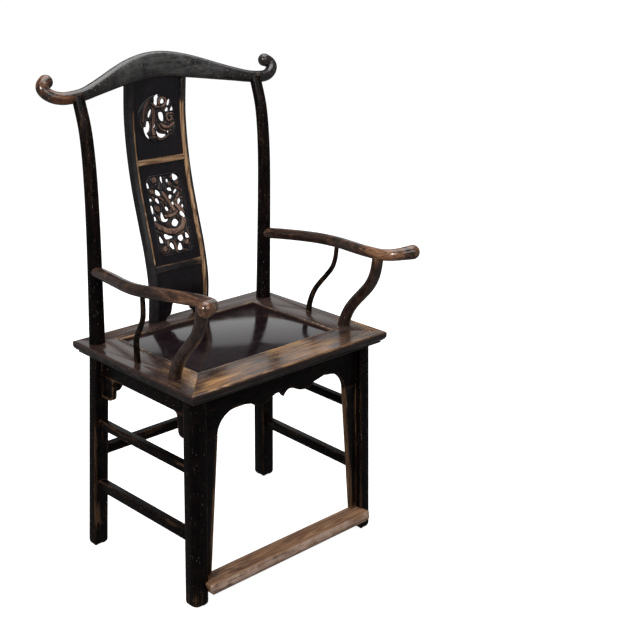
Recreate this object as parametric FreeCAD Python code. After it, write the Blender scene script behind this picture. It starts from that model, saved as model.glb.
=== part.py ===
import FreeCAD, Part
import math
import os

# Official hat chair in millimetres. +X is the sitter's left, -Y is the front and +Z is up.
# It is modelled about the middle of the seat and set back over its own footprint at the end.

Vector = FreeCAD.Vector
UP = Vector(0, 0, 1)
ACROSS = Vector(1, 0, 0)
BACKWARD = Vector(0, 1, 0)

# Joinery
fit = 0.2                     # clearance of a tenon in its mortise, each side
tenon_length = 13.0
tenon_thickness = 9.0
tenon_height = 12.0
tongue_depth = 4.0            # aprons and panels in their grooves
overrun = 40.0                # how far a cutter runs past what it cuts
curve_tolerance = 0.3         # of the arcs that stand for a drawn curve
rod_sides = 14                # flats round an arm, leg post or crest rail
slender_rod_sides = 10
ball_shares = (0.31, 0.58, 0.80)  # rings of a ball end, of a quarter turn

# Seat frame
seat_height = 510.0
seat_width = 570.0
seat_depth = 446.0
rail_thickness = 27.0
front_rail_width = 95.0
rear_rail_width = 67.0
side_rail_width = 88.0
edge_round = 4.0              # worn arris of the top
edge_band = 11.0              # from the top down to where the moulding draws in
edge_undercut = 12.0
edge_bead_height = 3.5
edge_bead_step = 1.8
corner_tenon_thickness = 7.0
corner_tenon_width = 34.0
corner_tenon_margin = 20.0    # from the tenon to the outside of the frame

# Seat panel and its battens
panel_drop = 4.0              # panel face below the frame
panel_thickness = 12.0
panel_groove_depth = 8.0
panel_tongue_thickness = 6.0
panel_tongue_drop = 9.0       # from the top of the frame to the tongue
batten_width = 30.0
batten_height = 14.0
batten_spacing_share = 0.5
dovetail_height = 4.0
dovetail_flare = 3.0
dovetail_width = 20.0

# Legs
leg_size = 37.0
leg_outer_round = 15.0
leg_corner_round = 4.0
foot_round = 11.0
foot_shares = ((0.00, 0.70), (0.35, 0.25), (1.00, 0.00))  # height and inset of the eased foot
side_leg_inset = 36.0         # from the outside of the frame to the middle of a rear leg
front_leg_narrowing = 4.2     # front legs stand this much nearer the middle at the top
front_leg_inset = 46.5
rear_leg_inset = 46.5
front_splay_out = 9.1         # how far the foot stands out past the top of the leg
front_splay_forward = 1.0
rear_splay_out = 14.5
rear_splay_back = 21.5
leg_tenon_size = 16.0
leg_tenon_height = 12.0

# Rear posts above the seat
post_top_drop = 10.0          # from the middle of the crest rail's ends down to the top of the post
post_seat_radius = 18.0
post_arm_radius = 16.4
post_top_radius = 14.0
post_kick = 22.0              # how far the top leans back
post_flare = 1.7
post_tenon_radius = 7.0
post_tenon_length = 13.0
post_path_shares = (          # rise, kick, flare
    (-0.08, 0.00, 0.0), (-0.03, 0.00, 0.0), (0.02, 0.00, 0.0), (0.15, -0.10, 0.0), (0.32, -0.22, 0.0),
    (0.50, -0.32, 0.1), (0.66, -0.33, 0.4), (0.79, -0.18, 0.6), (0.90, 0.18, 0.8), (1.00, 0.95, 1.0),
    (1.03, 1.20, 1.0))

# Crest rail, from the middle out to the curled end
crest_half_span = 323.0       # to the outermost point of its centre line
crest_clearance = 4.0         # from the top of the splat to the underside of the crest's middle
crest_fall = 47.0             # from the middle down to its lowest point
crest_sweep = 57.0            # how far the middle bows back from the posts
crest_middle_height = 60.0
crest_middle_thickness = 31.0
crest_end_radius = 14.0
crest_tip_radius = 16.2
crest_tip_inset = 14.0        # the curled tip stands this far in from the outermost point
crest_squareness = 2.5
crest_path_shares = (         # span, sweep, fall
    (0.000, 1.000, 0.000), (0.110, 0.975, 0.050), (0.240, 0.850, 0.190), (0.370, 0.660, 0.380),
    (0.500, 0.430, 0.590), (0.620, 0.200, 0.770), (0.710, 0.050, 0.900), (0.790, 0.000, 0.970),
    (0.870, 0.020, 1.000), (0.930, 0.090, 0.930), (0.975, 0.190, 0.770), (1.000, 0.290, 0.560),
    (0.990, 0.390, 0.370))
crest_swell_shares = (1.00, 0.98, 0.87, 0.64, 0.37, 0.15, 0.04, 0.0, 0.0, 0.0, 0.0, 0.0, 0.0)
crest_tip_shares = (0.956, 0.480, 0.250)

# Splat
splat_half_width = 83.5
stile_width = 16.0
stile_depth = 22.0
stile_ridge_share = 0.3       # where the ridge of its face stands, of its width
stile_inner_slope = 3.0       # how far the face falls back from the ridge
stile_outer_slope = 5.0
splat_foot_setback = 31.7     # from the inside of the rear rail to the splat's face
splat_lean = 69.0
splat_curve_shares = (        # rise, lean
    (0.00, 0.00), (0.14, -0.07), (0.28, 0.10), (0.42, 0.41), (0.56, 0.71), (0.70, 0.91),
    (0.85, 1.00), (1.00, 0.93), (1.06, 0.87))
splat_rise = 568.0            # from the seat to the underside of the crest rail
splat_groove_height = 10.0    # how far the splat reaches into the crest rail
splat_panel_recess = 7.0
splat_panel_thickness = 7.0
upper_rail_rise = 376.0
upper_rail_height = 12.5
lower_rail_rise = 129.0
lower_rail_height = 15.0

# Pierced openings in the splat: across, up, half length, half width and turn from upright
opening_corner_shares = ((0.0, 1.0), (1.0, 0.4), (1.0, -0.4), (0.0, -1.0), (-1.0, -0.4), (-1.0, 0.4))
medallion_radius = 55.0
medallion_level_share = 0.51  # from the upper rail to the crest rail
medallion_opening_shares = (
    (0.22, 0.05, 0.20, 0.11, 0.02), (-0.53, -0.44, 0.38, 0.09, -0.06), (0.00, 0.80, 0.21, 0.08, -0.04),
    (0.16, -0.76, 0.26, 0.06, 0.47), (0.66, 0.65, 0.15, 0.08, 0.20), (0.51, 0.34, 0.10, 0.08, 0.00),
    (0.83, 0.37, 0.11, 0.09, -0.08), (-0.36, 0.26, 0.18, 0.06, -0.09), (0.31, 0.71, 0.11, 0.08, 0.10))
window_half_height = 93.5
window_level_share = 0.484    # from the lower rail to the upper one
window_opening_shares = (
    (-0.24, 0.57, 0.09, 0.05, -0.20), (0.13, 0.60, 0.07, 0.04, 0.45), (-0.29, 0.37, 0.08, 0.05, -0.08),
    (0.36, 0.27, 0.09, 0.04, 0.18), (0.38, -0.06, 0.10, 0.06, -0.20), (-0.19, -0.04, 0.12, 0.05, 0.08),
    (0.13, -0.23, 0.10, 0.08, -0.30), (-0.19, -0.54, 0.12, 0.04, 0.46), (-0.40, -0.59, 0.09, 0.04, -0.05),
    (0.19, -0.63, 0.08, 0.06, -0.15), (0.14, -0.83, 0.09, 0.05, 0.00), (0.34, 0.87, 0.09, 0.05, 0.40))

# Shaped opening at the foot of the splat
arch_rise = 74.0
arch_half_width = 42.0
arch_shares = (               # width, rise
    (1.00, 0.00), (0.93, 0.10), (0.70, 0.20), (0.66, 0.36), (0.62, 0.55), (0.46, 0.72),
    (0.22, 0.82), (0.00, 1.00))

# Arms
arm_rise = 169.0              # at the rear post, above the seat
arm_climb = 35.0              # from the post to the tip
arm_reach = 459.0
arm_bow = 47.0
arm_radius = 13.4
arm_tip_radius = 17.0
arm_tenon_radius = 6.0
arm_path_shares = (           # reach, bow, climb
    (0.00, 0.00, 0.00), (0.09, 0.17, 0.11), (0.18, 0.355, 0.21), (0.27, 0.54, 0.29), (0.36, 0.70, 0.345),
    (0.45, 0.745, 0.39), (0.54, 0.64, 0.46), (0.63, 0.45, 0.53), (0.72, 0.26, 0.60), (0.80, 0.13, 0.67),
    (0.87, 0.08, 0.73), (0.925, 0.17, 0.81), (0.967, 0.46, 0.91), (1.00, 1.00, 1.00))

# Goosenecks under the arms
neck_set_forward = 115.5      # its foot in front of the middle of the seat
neck_sweep = 107.5
neck_radius = 13.2
neck_foot_radius = 14.2
neck_tenon_size = 14.0
neck_path_shares = (          # rise, sweep
    (-0.12, -0.07), (0.00, 0.00), (0.12, 0.08), (0.23, 0.19), (0.34, 0.35), (0.45, 0.54), (0.56, 0.72),
    (0.67, 0.85), (0.79, 0.93), (0.90, 0.965), (1.00, 0.99), (1.06, 1.00))

# Slender posts at the middle of the arms
side_post_set_back = 11.6
side_post_sweep = 68.0
side_post_lean = 28.0
side_post_foot_radius = 7.0
side_post_top_radius = 5.2
side_post_foot_inset = 31.0   # from the outside of the frame
side_post_path_shares = (     # rise, sweep, lean
    (-0.06, -0.02, -0.02), (0.00, 0.00, 0.00), (0.12, 0.03, 0.08), (0.23, 0.10, 0.22), (0.33, 0.22, 0.37),
    (0.44, 0.44, 0.52), (0.55, 0.68, 0.68), (0.66, 0.88, 0.83), (0.78, 0.97, 0.94), (0.90, 1.00, 1.00),
    (1.03, 1.00, 1.00))

# Stretchers and footrest
stretcher_round = 5.0
upper_stretcher_share = 0.652 # height of its middle, of the height under the seat frame
upper_stretcher_width = 20.0
upper_stretcher_depth = 21.0
lower_stretcher_share = 0.331
lower_stretcher_width = 22.0
lower_stretcher_depth = 25.0
rear_stretcher_share = 0.497
rear_stretcher_width = 22.0
rear_stretcher_depth = 24.0
footrest_top = 58.0
footrest_thickness = 27.0
footrest_width = 46.0
footrest_proud = 21.0         # how far its nose stands in front of the legs
footrest_nose_drop = 2.0
footrest_back_slope = 5.0
footrest_lap = 27.0           # its points reach this far over the legs
footrest_point_height = 5.0

# Aprons
apron_thickness = 11.0
apron_setback = 15.0          # behind the outside of the legs
front_apron_height = 54.0
side_apron_height = 47.0
apron_tongue_thickness = 5.0
strip_top_width = 39.5
strip_foot_width = 19.5
apron_shoulder = 103.0        # from the frame down to where the strips begin
apron_cove_reach_share = 0.265  # from a strip to where the apron's lower edge runs level, of half the opening
apron_cove_shares = ((0.12, 0.45), (0.45, 0.82))      # reach, rise
spandrel_front_reach = 36.0
spandrel_rear_reach = 46.0
spandrel_drop = 54.0
spandrel_cove_shares = ((1.25, 0.00), (1.03, 0.08), (0.95, 0.30))     # reach, drop
spandrel_heel_shares = ((0.90, 0.74), (0.80, 0.94), (0.45, 1.00))
apron_drop_height = 14.0      # carved drop in the middle of the front apron
apron_drop_width_share = 0.488  # of the opening between the strips
apron_flank_shares = (1.35, 0.2)
apron_scroll_shares = ((1.0, 0.3), (0.8, 1.0), (0.5, 0.75), (0.2, 0.0), (0.0, 1.0))   # width, drop

# Places that follow from the sizes above
half_width = seat_width / 2
half_depth = seat_depth / 2
frame_underside = seat_height - rail_thickness
opening_half_width = half_width - side_rail_width
opening_front = -half_depth + front_rail_width
opening_rear = half_depth - rear_rail_width
leg_top_x = half_width - side_leg_inset
front_leg_top_x = leg_top_x - front_leg_narrowing
front_leg_top_y = -half_depth + front_leg_inset
rear_leg_top_y = half_depth - rear_leg_inset
splat_foot_y = opening_rear + splat_foot_setback
splat_inner_half = splat_half_width - stile_width
arm_height = seat_height + arm_rise
crest_rise = splat_rise + crest_clearance + crest_middle_height / 2
post_rise = crest_rise - crest_fall - post_top_drop
upper_stretcher_height = frame_underside * upper_stretcher_share
lower_stretcher_height = frame_underside * lower_stretcher_share
rear_stretcher_height = frame_underside * rear_stretcher_share


# Basic solids

def block(x0, x1, y0, y1, z0, z1):
    low = Vector(min(x0, x1), min(y0, y1), min(z0, z1))
    return Part.makeBox(abs(x1 - x0), abs(y1 - y0), abs(z1 - z0), low)


def upright_cylinder(x, y, z0, z1, radius):
    return Part.makeCylinder(radius, z1 - z0, Vector(x, y, z0), UP)


def mirrored(shape):
    return shape.mirror(Vector(0, 0, 0), ACROSS)


def both_sides(shapes):
    return list(shapes) + [mirrored(shape) for shape in shapes]


def loop_face(edges):
    return Part.Face(Part.Wire(Part.sortEdges(edges)[0]))


def polyline_face(points):
    return Part.Face(Part.makePolygon(list(points) + [points[0]]))


def smooth_edges(points):
    """Smooth curve through points, as tangent arcs."""
    curve = Part.BSplineCurve()
    curve.interpolate(points)
    return [arc.toShape() for arc in curve.toBiArcs(curve_tolerance)]


def ring(sides, centre, along, reference, half_across, half_other, squareness):
    """Many-sided closed section square to a rod's path. An exponent above two makes it squarer than round.

    The corners stand out a little, so that the section keeps the area of the round one.
    """
    side = (reference - along * reference.dot(along)).normalize()
    other = along.cross(side)
    turn = 2 * math.pi / sides
    outward = 1 / math.sqrt(math.cos(turn / 2))
    corners = []
    for step in range(sides):
        c = math.cos((step + 0.5) * turn)
        s = math.sin((step + 0.5) * turn)
        a = half_across * math.copysign(abs(c) ** (2 / squareness), c)
        b = half_other * math.copysign(abs(s) ** (2 / squareness), s)
        corners.append(centre + (side * a + other * b) * outward)
    return Part.makePolygon(corners + [corners[0]])


def rod(sections, reference, round_start=False, round_end=False, sides=rod_sides):
    """Ruled loft through rows of centre, half across, half other and squareness, with ball ends if asked."""
    path = Part.BSplineCurve()
    path.interpolate([section[0] for section in sections])
    rings = []
    for centre, across, other, squareness in sections:
        along = path.tangent(path.parameter(centre))[0]
        rings.append(ring(sides, centre, along, reference, across, other, squareness))
    for wanted, section, sign in ((round_start, sections[0], -1), (round_end, sections[-1], 1)):
        if not wanted:
            continue
        centre, across, other, squareness = section
        along = path.tangent(path.parameter(centre))[0]
        cap = []
        for share in ball_shares:
            angle = share * math.pi / 2
            place = centre + along * across * math.sin(angle) * sign
            shrink = math.cos(angle)
            cap.append(ring(sides, place, along, reference, across * shrink, other * shrink, squareness))
        rings = rings + cap if sign > 0 else cap[::-1] + rings
    return Part.makeLoft(rings, True, True)


def blend(start, end, share):
    return start + (end - start) * share


# Legs and where they stand

def leg_middle(rear, z):
    """Middle of a right-hand leg at height z."""
    share = (frame_underside - z) / frame_underside
    if rear:
        return leg_top_x + rear_splay_out * share, rear_leg_top_y + rear_splay_back * share
    return front_leg_top_x + front_splay_out * share, front_leg_top_y - front_splay_forward * share


def leg_section(rear, z, inset):
    """Square section with a full round on the corner that faces out."""
    cx, cy = leg_middle(rear, z)
    half = leg_size / 2 - inset
    away = 1 if rear else -1
    corners = ((1, away), (-1, away), (-1, -away), (1, -away))
    radii = (leg_outer_round - inset / 2, leg_corner_round, leg_corner_round, leg_corner_round)
    arc_share = 1 - math.sqrt(0.5)
    starts = []
    middles = []
    ends = []
    for index, (sx, sy) in enumerate(corners):
        radius = radii[index]
        corner = Vector(cx + sx * half, cy + sy * half, z)
        toward_x = Vector(-sx * radius, 0, 0)
        toward_y = Vector(0, -sy * radius, 0)
        first, second = (toward_y, toward_x) if index % 2 == 0 else (toward_x, toward_y)
        starts.append(corner + first)
        middles.append(corner + (toward_x + toward_y) * arc_share)
        ends.append(corner + second)
    edges = []
    for index in range(len(corners)):
        edges.append(Part.Arc(starts[index], middles[index], ends[index]).toShape())
        following = starts[(index + 1) % len(corners)]
        edges.append(Part.LineSegment(ends[index], following).toShape())
    return Part.Wire(edges)


def leg_blank(rear):
    """Leg from the floor to the frame: a straight splayed timber, eased at the foot."""
    foot = Vector(*leg_middle(rear, foot_round), foot_round)
    head = Vector(*leg_middle(rear, frame_underside), frame_underside)
    timber = Part.Face(leg_section(rear, foot_round, 0)).extrude(head - foot)
    wires = [leg_section(rear, foot_round * rise, foot_round * inset) for rise, inset in foot_shares]
    return timber.fuse(Part.makeLoft(wires, True, True))


def post_centre(row):
    rise, kick, flare = row
    return Vector(leg_top_x + post_flare * flare, rear_leg_top_y + post_kick * kick,
                  seat_height + post_rise * rise)


def post_radius(rise):
    arm_share = arm_rise / post_rise
    if rise < arm_share:
        return blend(post_seat_radius, post_arm_radius, max(rise, 0) / arm_share)
    return blend(post_arm_radius, post_top_radius, (min(rise, 1) - arm_share) / (1 - arm_share))


def post_blank():
    """Round post, from inside the leg through the frame and a little way into the crest rail."""
    sections = []
    for row in post_path_shares:
        radius = post_radius(row[0])
        sections.append((post_centre(row), radius, radius, 2))
    return rod(sections, ACROSS)


# Crest rail

crest_level = seat_height + crest_rise
crest_post_y = post_centre(post_path_shares[-1])[1] + post_kick * 0.12


def crest_centre(span, sweep, fall):
    return Vector(crest_half_span * span, crest_post_y + crest_sweep * sweep, crest_level - crest_fall * fall)


def crest_blank():
    sections = []
    for row, swell in zip(crest_path_shares, crest_swell_shares):
        half_thickness = blend(crest_end_radius, crest_middle_thickness / 2, swell)
        half_height = blend(crest_end_radius, crest_middle_height / 2, swell)
        squareness = blend(2, crest_squareness, swell)
        sections.append((crest_centre(*row), half_thickness, half_height, squareness))
    tip = crest_centre(*crest_tip_shares)
    sections.append((tip, crest_tip_radius, crest_tip_radius, 2))
    other_half = []
    for centre, thickness, height, squareness in sections[1:]:
        other_half.insert(0, (Vector(-centre.x, centre.y, centre.z), thickness, height, squareness))
    return rod(other_half + sections, BACKWARD, True, True)


# Splat

def splat_face_edges(offset, x):
    points = []
    for rise, lean in splat_curve_shares:
        points.append(Vector(x, splat_foot_y + splat_lean * lean + offset, seat_height + splat_rise * rise))
    return smooth_edges(points)


def splat_slab(front, back, x, run):
    """Solid between two offsets behind the splat's face, from a place across the chair along a run."""
    near = splat_face_edges(front, x)
    thickness = BACKWARD * (back - front)
    far = [edge.translated(thickness) for edge in near]
    bottom = near[0].Vertexes[0].Point
    top = near[-1].Vertexes[-1].Point
    ends = [Part.LineSegment(point, point + thickness).toShape() for point in (bottom, top)]
    return loop_face(near + far + ends).extrude(run)


def splat_band(front, back, x0, x1, z0, z1):
    """Part of the splat between two offsets, two places across and two heights."""
    tall = splat_slab(front, back, x0, ACROSS * (x1 - x0))
    return tall.common(block(x0 - overrun, x1 + overrun, -seat_depth, seat_depth * 2, z0, z1))


# Frame rails

def edge_profile(width):
    """Points and arcs of a rail's section, as (inward, height) from the frame's outside."""
    top = seat_height
    low = frame_underside
    bead = low + edge_bead_height
    belly = (edge_undercut * 0.3, blend(bead, top - edge_band, 0.42))
    return (
        ("line", (width, low), (width, top)),
        ("line", (width, top), (edge_round, top)),
        ("arc", (edge_round, top), (edge_round * 0.3, top - edge_round * 0.3), (0, top - edge_round)),
        ("line", (0, top - edge_round), (0, top - edge_band)),
        ("arc", (0, top - edge_band), belly, (edge_undercut, bead)),
        ("line", (edge_undercut, bead), (edge_undercut - edge_bead_step, bead)),
        ("line", (edge_undercut - edge_bead_step, bead), (edge_undercut - edge_bead_step, low)),
        ("line", (edge_undercut - edge_bead_step, low), (width, low)))


def rail_blank(width, place, length):
    """Rail of full length: place turns (inward, height) into a point at the rail's start."""
    edges = []
    for kind, *points in edge_profile(width):
        spots = [place(*point) for point in points]
        if kind == "arc":
            edges.append(Part.Arc(*spots).toShape())
        else:
            edges.append(Part.LineSegment(*spots).toShape())
    return loop_face(edges).extrude(length)


def mitre_prism(corners):
    low = frame_underside
    face = polyline_face([Vector(x, y, low) for x, y in corners])
    return face.extrude(UP * rail_thickness)


front_outer = (half_width, -half_depth)
front_inner = (opening_half_width, opening_front)
rear_outer = (half_width, half_depth)
rear_inner = (opening_half_width, opening_rear)


def flipped(corner):
    return -corner[0], corner[1]


def corner_tenon(rear, clearance):
    """Tenon of a front or rear rail in the side rail, above the leg tenon or behind the post."""
    low = frame_underside + leg_tenon_height + 2 * fit
    margin = corner_tenon_margin / 2 if rear else corner_tenon_margin
    far = half_width - margin
    if rear:
        near = leg_top_x
        first = rear_leg_top_y + post_seat_radius + tongue_depth / 2
        last = half_depth - margin
    else:
        near = opening_half_width + side_rail_width * 0.3
        first = -half_depth + margin
        last = first + corner_tenon_width
    return block(near, far + clearance, first - clearance, last + clearance, low - clearance,
                 low + corner_tenon_thickness + clearance)


def panel_slot(clearance):
    reach = panel_groove_depth - fit + clearance
    high = seat_height - panel_tongue_drop + clearance
    low = high - panel_tongue_thickness - 2 * clearance
    return block(-opening_half_width - reach, opening_half_width + reach,
                 opening_front - reach, opening_rear + reach, low, high)


panel_underside = seat_height - panel_drop - panel_thickness
batten_x = opening_half_width * batten_spacing_share


def batten_tenon(x, clearance):
    half = tenon_thickness + clearance
    low = panel_underside - batten_height * 0.75 - clearance
    high = panel_underside - batten_height * 0.15 + clearance
    reach = tenon_length + clearance
    return block(x - half, x + half, opening_front - reach, opening_rear + reach, low, high)


def dovetail(x, clearance):
    half_low = dovetail_width / 2 + clearance
    half_high = half_low + dovetail_flare
    low = panel_underside - clearance
    high = panel_underside + dovetail_height
    corners = ((x - half_low, low), (x + half_low, low), (x + half_high, high), (x - half_high, high))
    face = polyline_face([Vector(px, opening_front - clearance, pz) for px, pz in corners])
    return face.extrude(BACKWARD * (opening_rear - opening_front + 2 * clearance))


def leg_tenon(clearance):
    half = leg_tenon_size / 2 + clearance
    x = front_leg_top_x
    return block(x - half, x + half, front_leg_top_y - half, front_leg_top_y + half,
                 frame_underside - tongue_depth, frame_underside + leg_tenon_height + clearance)


def stile_foot_tenon(clearance):
    middle = (splat_inner_half + splat_half_width) / 2
    half = stile_width / 4 + clearance
    near = splat_foot_y + stile_depth * 0.25 - clearance
    far = splat_foot_y + stile_depth * 0.75 + clearance
    return block(middle - half, middle + half, near, far, seat_height - tenon_length - clearance,
                 seat_height + tenon_length)


# Arms and their posts

def arm_centre(reach, bow, climb):
    y = post_at_arm.y - arm_reach * reach
    return Vector(leg_top_x + arm_bow * bow, y, arm_height + arm_climb * climb)


def post_at_height(z):
    """Middle of the rear post at a height between two of its stations."""
    rows = [post_centre(row) for row in post_path_shares]
    for low, high in zip(rows, rows[1:]):
        if low.z <= z <= high.z:
            return blend(low, high, (z - low.z) / (high.z - low.z))
    return rows[-1]


post_at_arm = post_at_height(arm_height)


def arm_blank():
    sections = []
    for row in arm_path_shares:
        sections.append((arm_centre(*row), arm_radius, arm_radius, 2))
    tip = sections[-1][0]
    sections[-1] = (tip, arm_tip_radius, arm_tip_radius, 2)
    return rod(sections, UP, False, True)


def arm_level(y):
    """Height of the arm's middle line at a place along it."""
    rows = [arm_centre(*row) for row in arm_path_shares]
    for near, far in zip(rows, rows[1:]):
        if far.y <= y <= near.y:
            return blend(near, far, (near.y - y) / (near.y - far.y))
    return rows[-1]


neck_foot_y = -neck_set_forward
neck_top = arm_level(neck_foot_y - neck_sweep)
neck_foot_x = leg_top_x


def neck_blank():
    rise_total = neck_top.z - seat_height
    sections = []
    for rise, sweep in neck_path_shares:
        share = min(max(rise, 0), 1)
        centre = Vector(blend(neck_foot_x, neck_top.x, share), neck_foot_y - neck_sweep * sweep,
                        seat_height + rise_total * rise)
        radius = blend(neck_foot_radius, neck_radius, min(share * 3, 1))
        sections.append((centre, radius, radius, 2))
    return rod(sections, ACROSS)


side_post_foot_x = half_width - side_post_foot_inset
side_post_top = arm_level(side_post_set_back - side_post_sweep)


def side_post_blank():
    rise_total = side_post_top.z - seat_height
    sections = []
    for rise, sweep, lean in side_post_path_shares:
        x = blend(side_post_foot_x, side_post_top.x, lean)
        y = side_post_set_back - side_post_sweep * sweep
        centre = Vector(x, y, seat_height + rise_total * rise)
        radius = blend(side_post_foot_radius, side_post_top_radius, min(max(rise, 0), 1))
        sections.append((centre, radius, radius, 2))
    return rod(sections, ACROSS, sides=slender_rod_sides)


below_seat = block(-seat_width, seat_width, -seat_depth, seat_depth, 0, seat_height)


def neck_foot_tenon(clearance):
    half = neck_tenon_size / 2 + clearance
    return block(neck_foot_x - half, neck_foot_x + half, neck_foot_y - half, neck_foot_y + half,
                 seat_height - tenon_length - clearance, seat_height + tenon_length / 2)


def side_post_foot_tenon(clearance):
    radius = side_post_foot_radius * 0.7 + clearance
    return upright_cylinder(side_post_foot_x, side_post_set_back, seat_height - tenon_length - clearance,
                            seat_height + tenon_length / 2, radius)


def arm_dowel(spot, radius, clearance):
    """Round tenon of a post in the underside of the arm."""
    top = spot.z + arm_radius * 0.35 + clearance
    return upright_cylinder(spot.x, spot.y, spot.z - arm_radius * 1.3, top, radius + clearance)


def arm_end_tenon(clearance):
    depth = tenon_length / 2 + clearance
    start = post_at_arm + BACKWARD * (depth - post_arm_radius * 0.2)
    length = post_arm_radius * 1.4 + depth
    return Part.makeCylinder(arm_tenon_radius + clearance, length, start, BACKWARD * -1)


def post_top_tenon(clearance):
    top = post_centre(post_path_shares[-2])
    crest = crest_centre(top.x / crest_half_span, 0, 1)
    return upright_cylinder(top.x, crest_post_y, top.z - post_tenon_length / 2, crest.z + clearance,
                            post_tenon_radius + clearance)


# Stretchers

def bar_section(place, half_wide, half_deep):
    """Rounded oblong in a plane that place maps to the model."""
    r = stretcher_round
    bend = r * (1 - math.sqrt(0.5))
    edges = []
    quarter = ((1, 1), (-1, 1), (-1, -1), (1, -1))
    arcs = []
    for index, (sx, sz) in enumerate(quarter):
        level = (sx * half_wide, sz * (half_deep - r))
        edge = (sx * (half_wide - r), sz * half_deep)
        middle = (sx * (half_wide - bend), sz * (half_deep - bend))
        first, last = (level, edge) if index % 2 == 0 else (edge, level)
        arcs.append([place(*first), place(*middle), place(*last)])
    for index, arc in enumerate(arcs):
        edges.append(Part.Arc(*arc).toShape())
        edges.append(Part.LineSegment(arc[2], arcs[(index + 1) % len(arcs)][0]).toShape())
    return Part.Wire(edges)


def side_stretcher(height, width, depth):
    """Bar between the middles of a front and a rear leg on the right."""
    start = Vector(*leg_middle(False, height), height)
    span = Vector(*leg_middle(True, height), height) - start
    side = span.cross(UP).normalize()
    section = bar_section(lambda a, b: start + side * a + UP * b, width / 2, depth / 2)
    return Part.Face(section).extrude(span)


def side_tenons(height, clearance):
    """Tenons at both ends of a side stretcher, reaching into the legs."""
    half = tenon_thickness / 2 + clearance
    half_tall = tenon_height / 2 + clearance
    pieces = []
    for rear in (False, True):
        cx, cy = leg_middle(rear, height)
        inward = -1 if rear else 1
        face = cy + inward * leg_size / 2
        pieces.append(block(cx - half, cx + half, face - inward * (tenon_length + clearance),
                            face + inward * tenon_length, height - half_tall, height + half_tall))
    return pieces


def cross_tenon(rear, height, half_deep, clearance):
    """Tenon of a bar across the chair, in the right-hand leg."""
    cx, cy = leg_middle(rear, height)
    face = cx - leg_size / 2
    half = tenon_thickness / 2 + clearance
    return block(face - tenon_length, face + tenon_length + clearance, cy - half, cy + half,
                 height - half_deep - clearance, height + half_deep + clearance)


footrest_level = footrest_top - footrest_thickness / 2


def footrest_blank():
    """Board with a sloping top, a raked front and pointed ends that lap the legs."""
    cx, cy = leg_middle(False, footrest_level)
    nose = cy - leg_size / 2 - footrest_proud
    back = nose + footrest_width
    low = footrest_top - footrest_thickness
    inner = cx - leg_size / 2
    reach = inner + footrest_lap
    front_top = footrest_top - footrest_nose_drop
    back_top = footrest_top + footrest_nose_drop
    point_low = front_top - footrest_point_height
    section = ((nose + footrest_back_slope, low), (nose, point_low), (nose + footrest_nose_drop, front_top),
               (back, back_top), (back, low))
    face = polyline_face([Vector(-reach, y, z) for y, z in section])
    board = face.extrude(ACROSS * (2 * reach))
    outline = ((-inner, low), (inner, low), (reach, point_low), (reach, front_top),
               (inner, back_top), (-inner, back_top), (-reach, front_top), (-reach, point_low))
    plan = polyline_face([Vector(x, nose - overrun, z) for x, z in outline])
    return board.common(plan.extrude(BACKWARD * (footrest_width + 2 * overrun)))


# Aprons

front_apron_y = front_leg_top_y - leg_size / 2 + apron_setback
rear_apron_y = rear_leg_top_y + leg_size / 2 - apron_setback
side_apron_x = leg_top_x + leg_size / 2 - apron_setback
apron_low = frame_underside - side_apron_height
spandrel_low = apron_low - spandrel_drop


def leg_inner_x(rear, z):
    return leg_middle(rear, z)[0] - leg_size / 2


def front_apron_blank():
    """Arched board whose ends run down beside the legs to meet the strips."""
    top = frame_underside
    low = top - front_apron_height
    end = top - apron_shoulder
    outer = leg_inner_x(False, end)
    inner = outer - strip_top_width
    shoulder = inner * (1 - apron_cove_reach_share)
    drop_half_width = inner * apron_drop_width_share
    drop = apron_drop_height
    top_outer = leg_inner_x(False, top)

    def spot(x, z):
        return Vector(x, front_apron_y, z)

    coves = [spot(blend(inner, shoulder, reach), blend(end, low, rise)) for reach, rise in apron_cove_shares]
    cove = smooth_edges([spot(inner, end)] + coves + [spot(shoulder, low)])
    flank_width, flank_rise = apron_flank_shares
    flank = spot(drop_half_width * flank_width, low + drop * flank_rise)
    scroll = [spot(drop_half_width * share, low - drop * depth) for share, depth in apron_scroll_shares]
    half = cove + smooth_edges(scroll)
    half.append(Part.LineSegment(spot(shoulder, low), flank).toShape())
    half.append(Part.LineSegment(flank, scroll[0]).toShape())
    half.append(Part.LineSegment(spot(top_outer, top), spot(outer, end)).toShape())
    half.append(Part.LineSegment(spot(outer, end), spot(inner, end)).toShape())
    crown = Part.LineSegment(spot(-top_outer, top), spot(top_outer, top)).toShape()
    return loop_face(both_sides(half) + [crown]).extrude(BACKWARD * apron_thickness)


def slanted_bar(z0, z1, corners):
    """Bar with flat sides between two heights; corners(z) gives its plan points."""
    foot, head = ([Vector(x, y, z) for x, y in corners(z)] for z in (z0, z1))
    faces = [polyline_face(foot), polyline_face(head)]
    for index in range(len(foot)):
        after = (index + 1) % len(foot)
        faces.append(polyline_face([foot[index], foot[after], head[after], head[index]]))
    return Part.makeSolid(Part.makeShell(faces))


strip_top = frame_underside - apron_shoulder


def strip_plan(z):
    """Plan of a strip: its outer edge follows the leg and its width tapers downward."""
    share = (strip_top - z) / (strip_top - footrest_top)
    width = blend(strip_top_width, strip_foot_width, share)
    outer = leg_inner_x(False, z)
    inner = outer - width
    front = leg_middle(False, z)[1] - leg_size / 2 + apron_setback
    back = front + apron_thickness
    return (inner, front), (outer, front), (outer, back), (inner, back)


def strip_blank():
    return slanted_bar(footrest_top - overrun / 4, strip_top, strip_plan)


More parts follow.
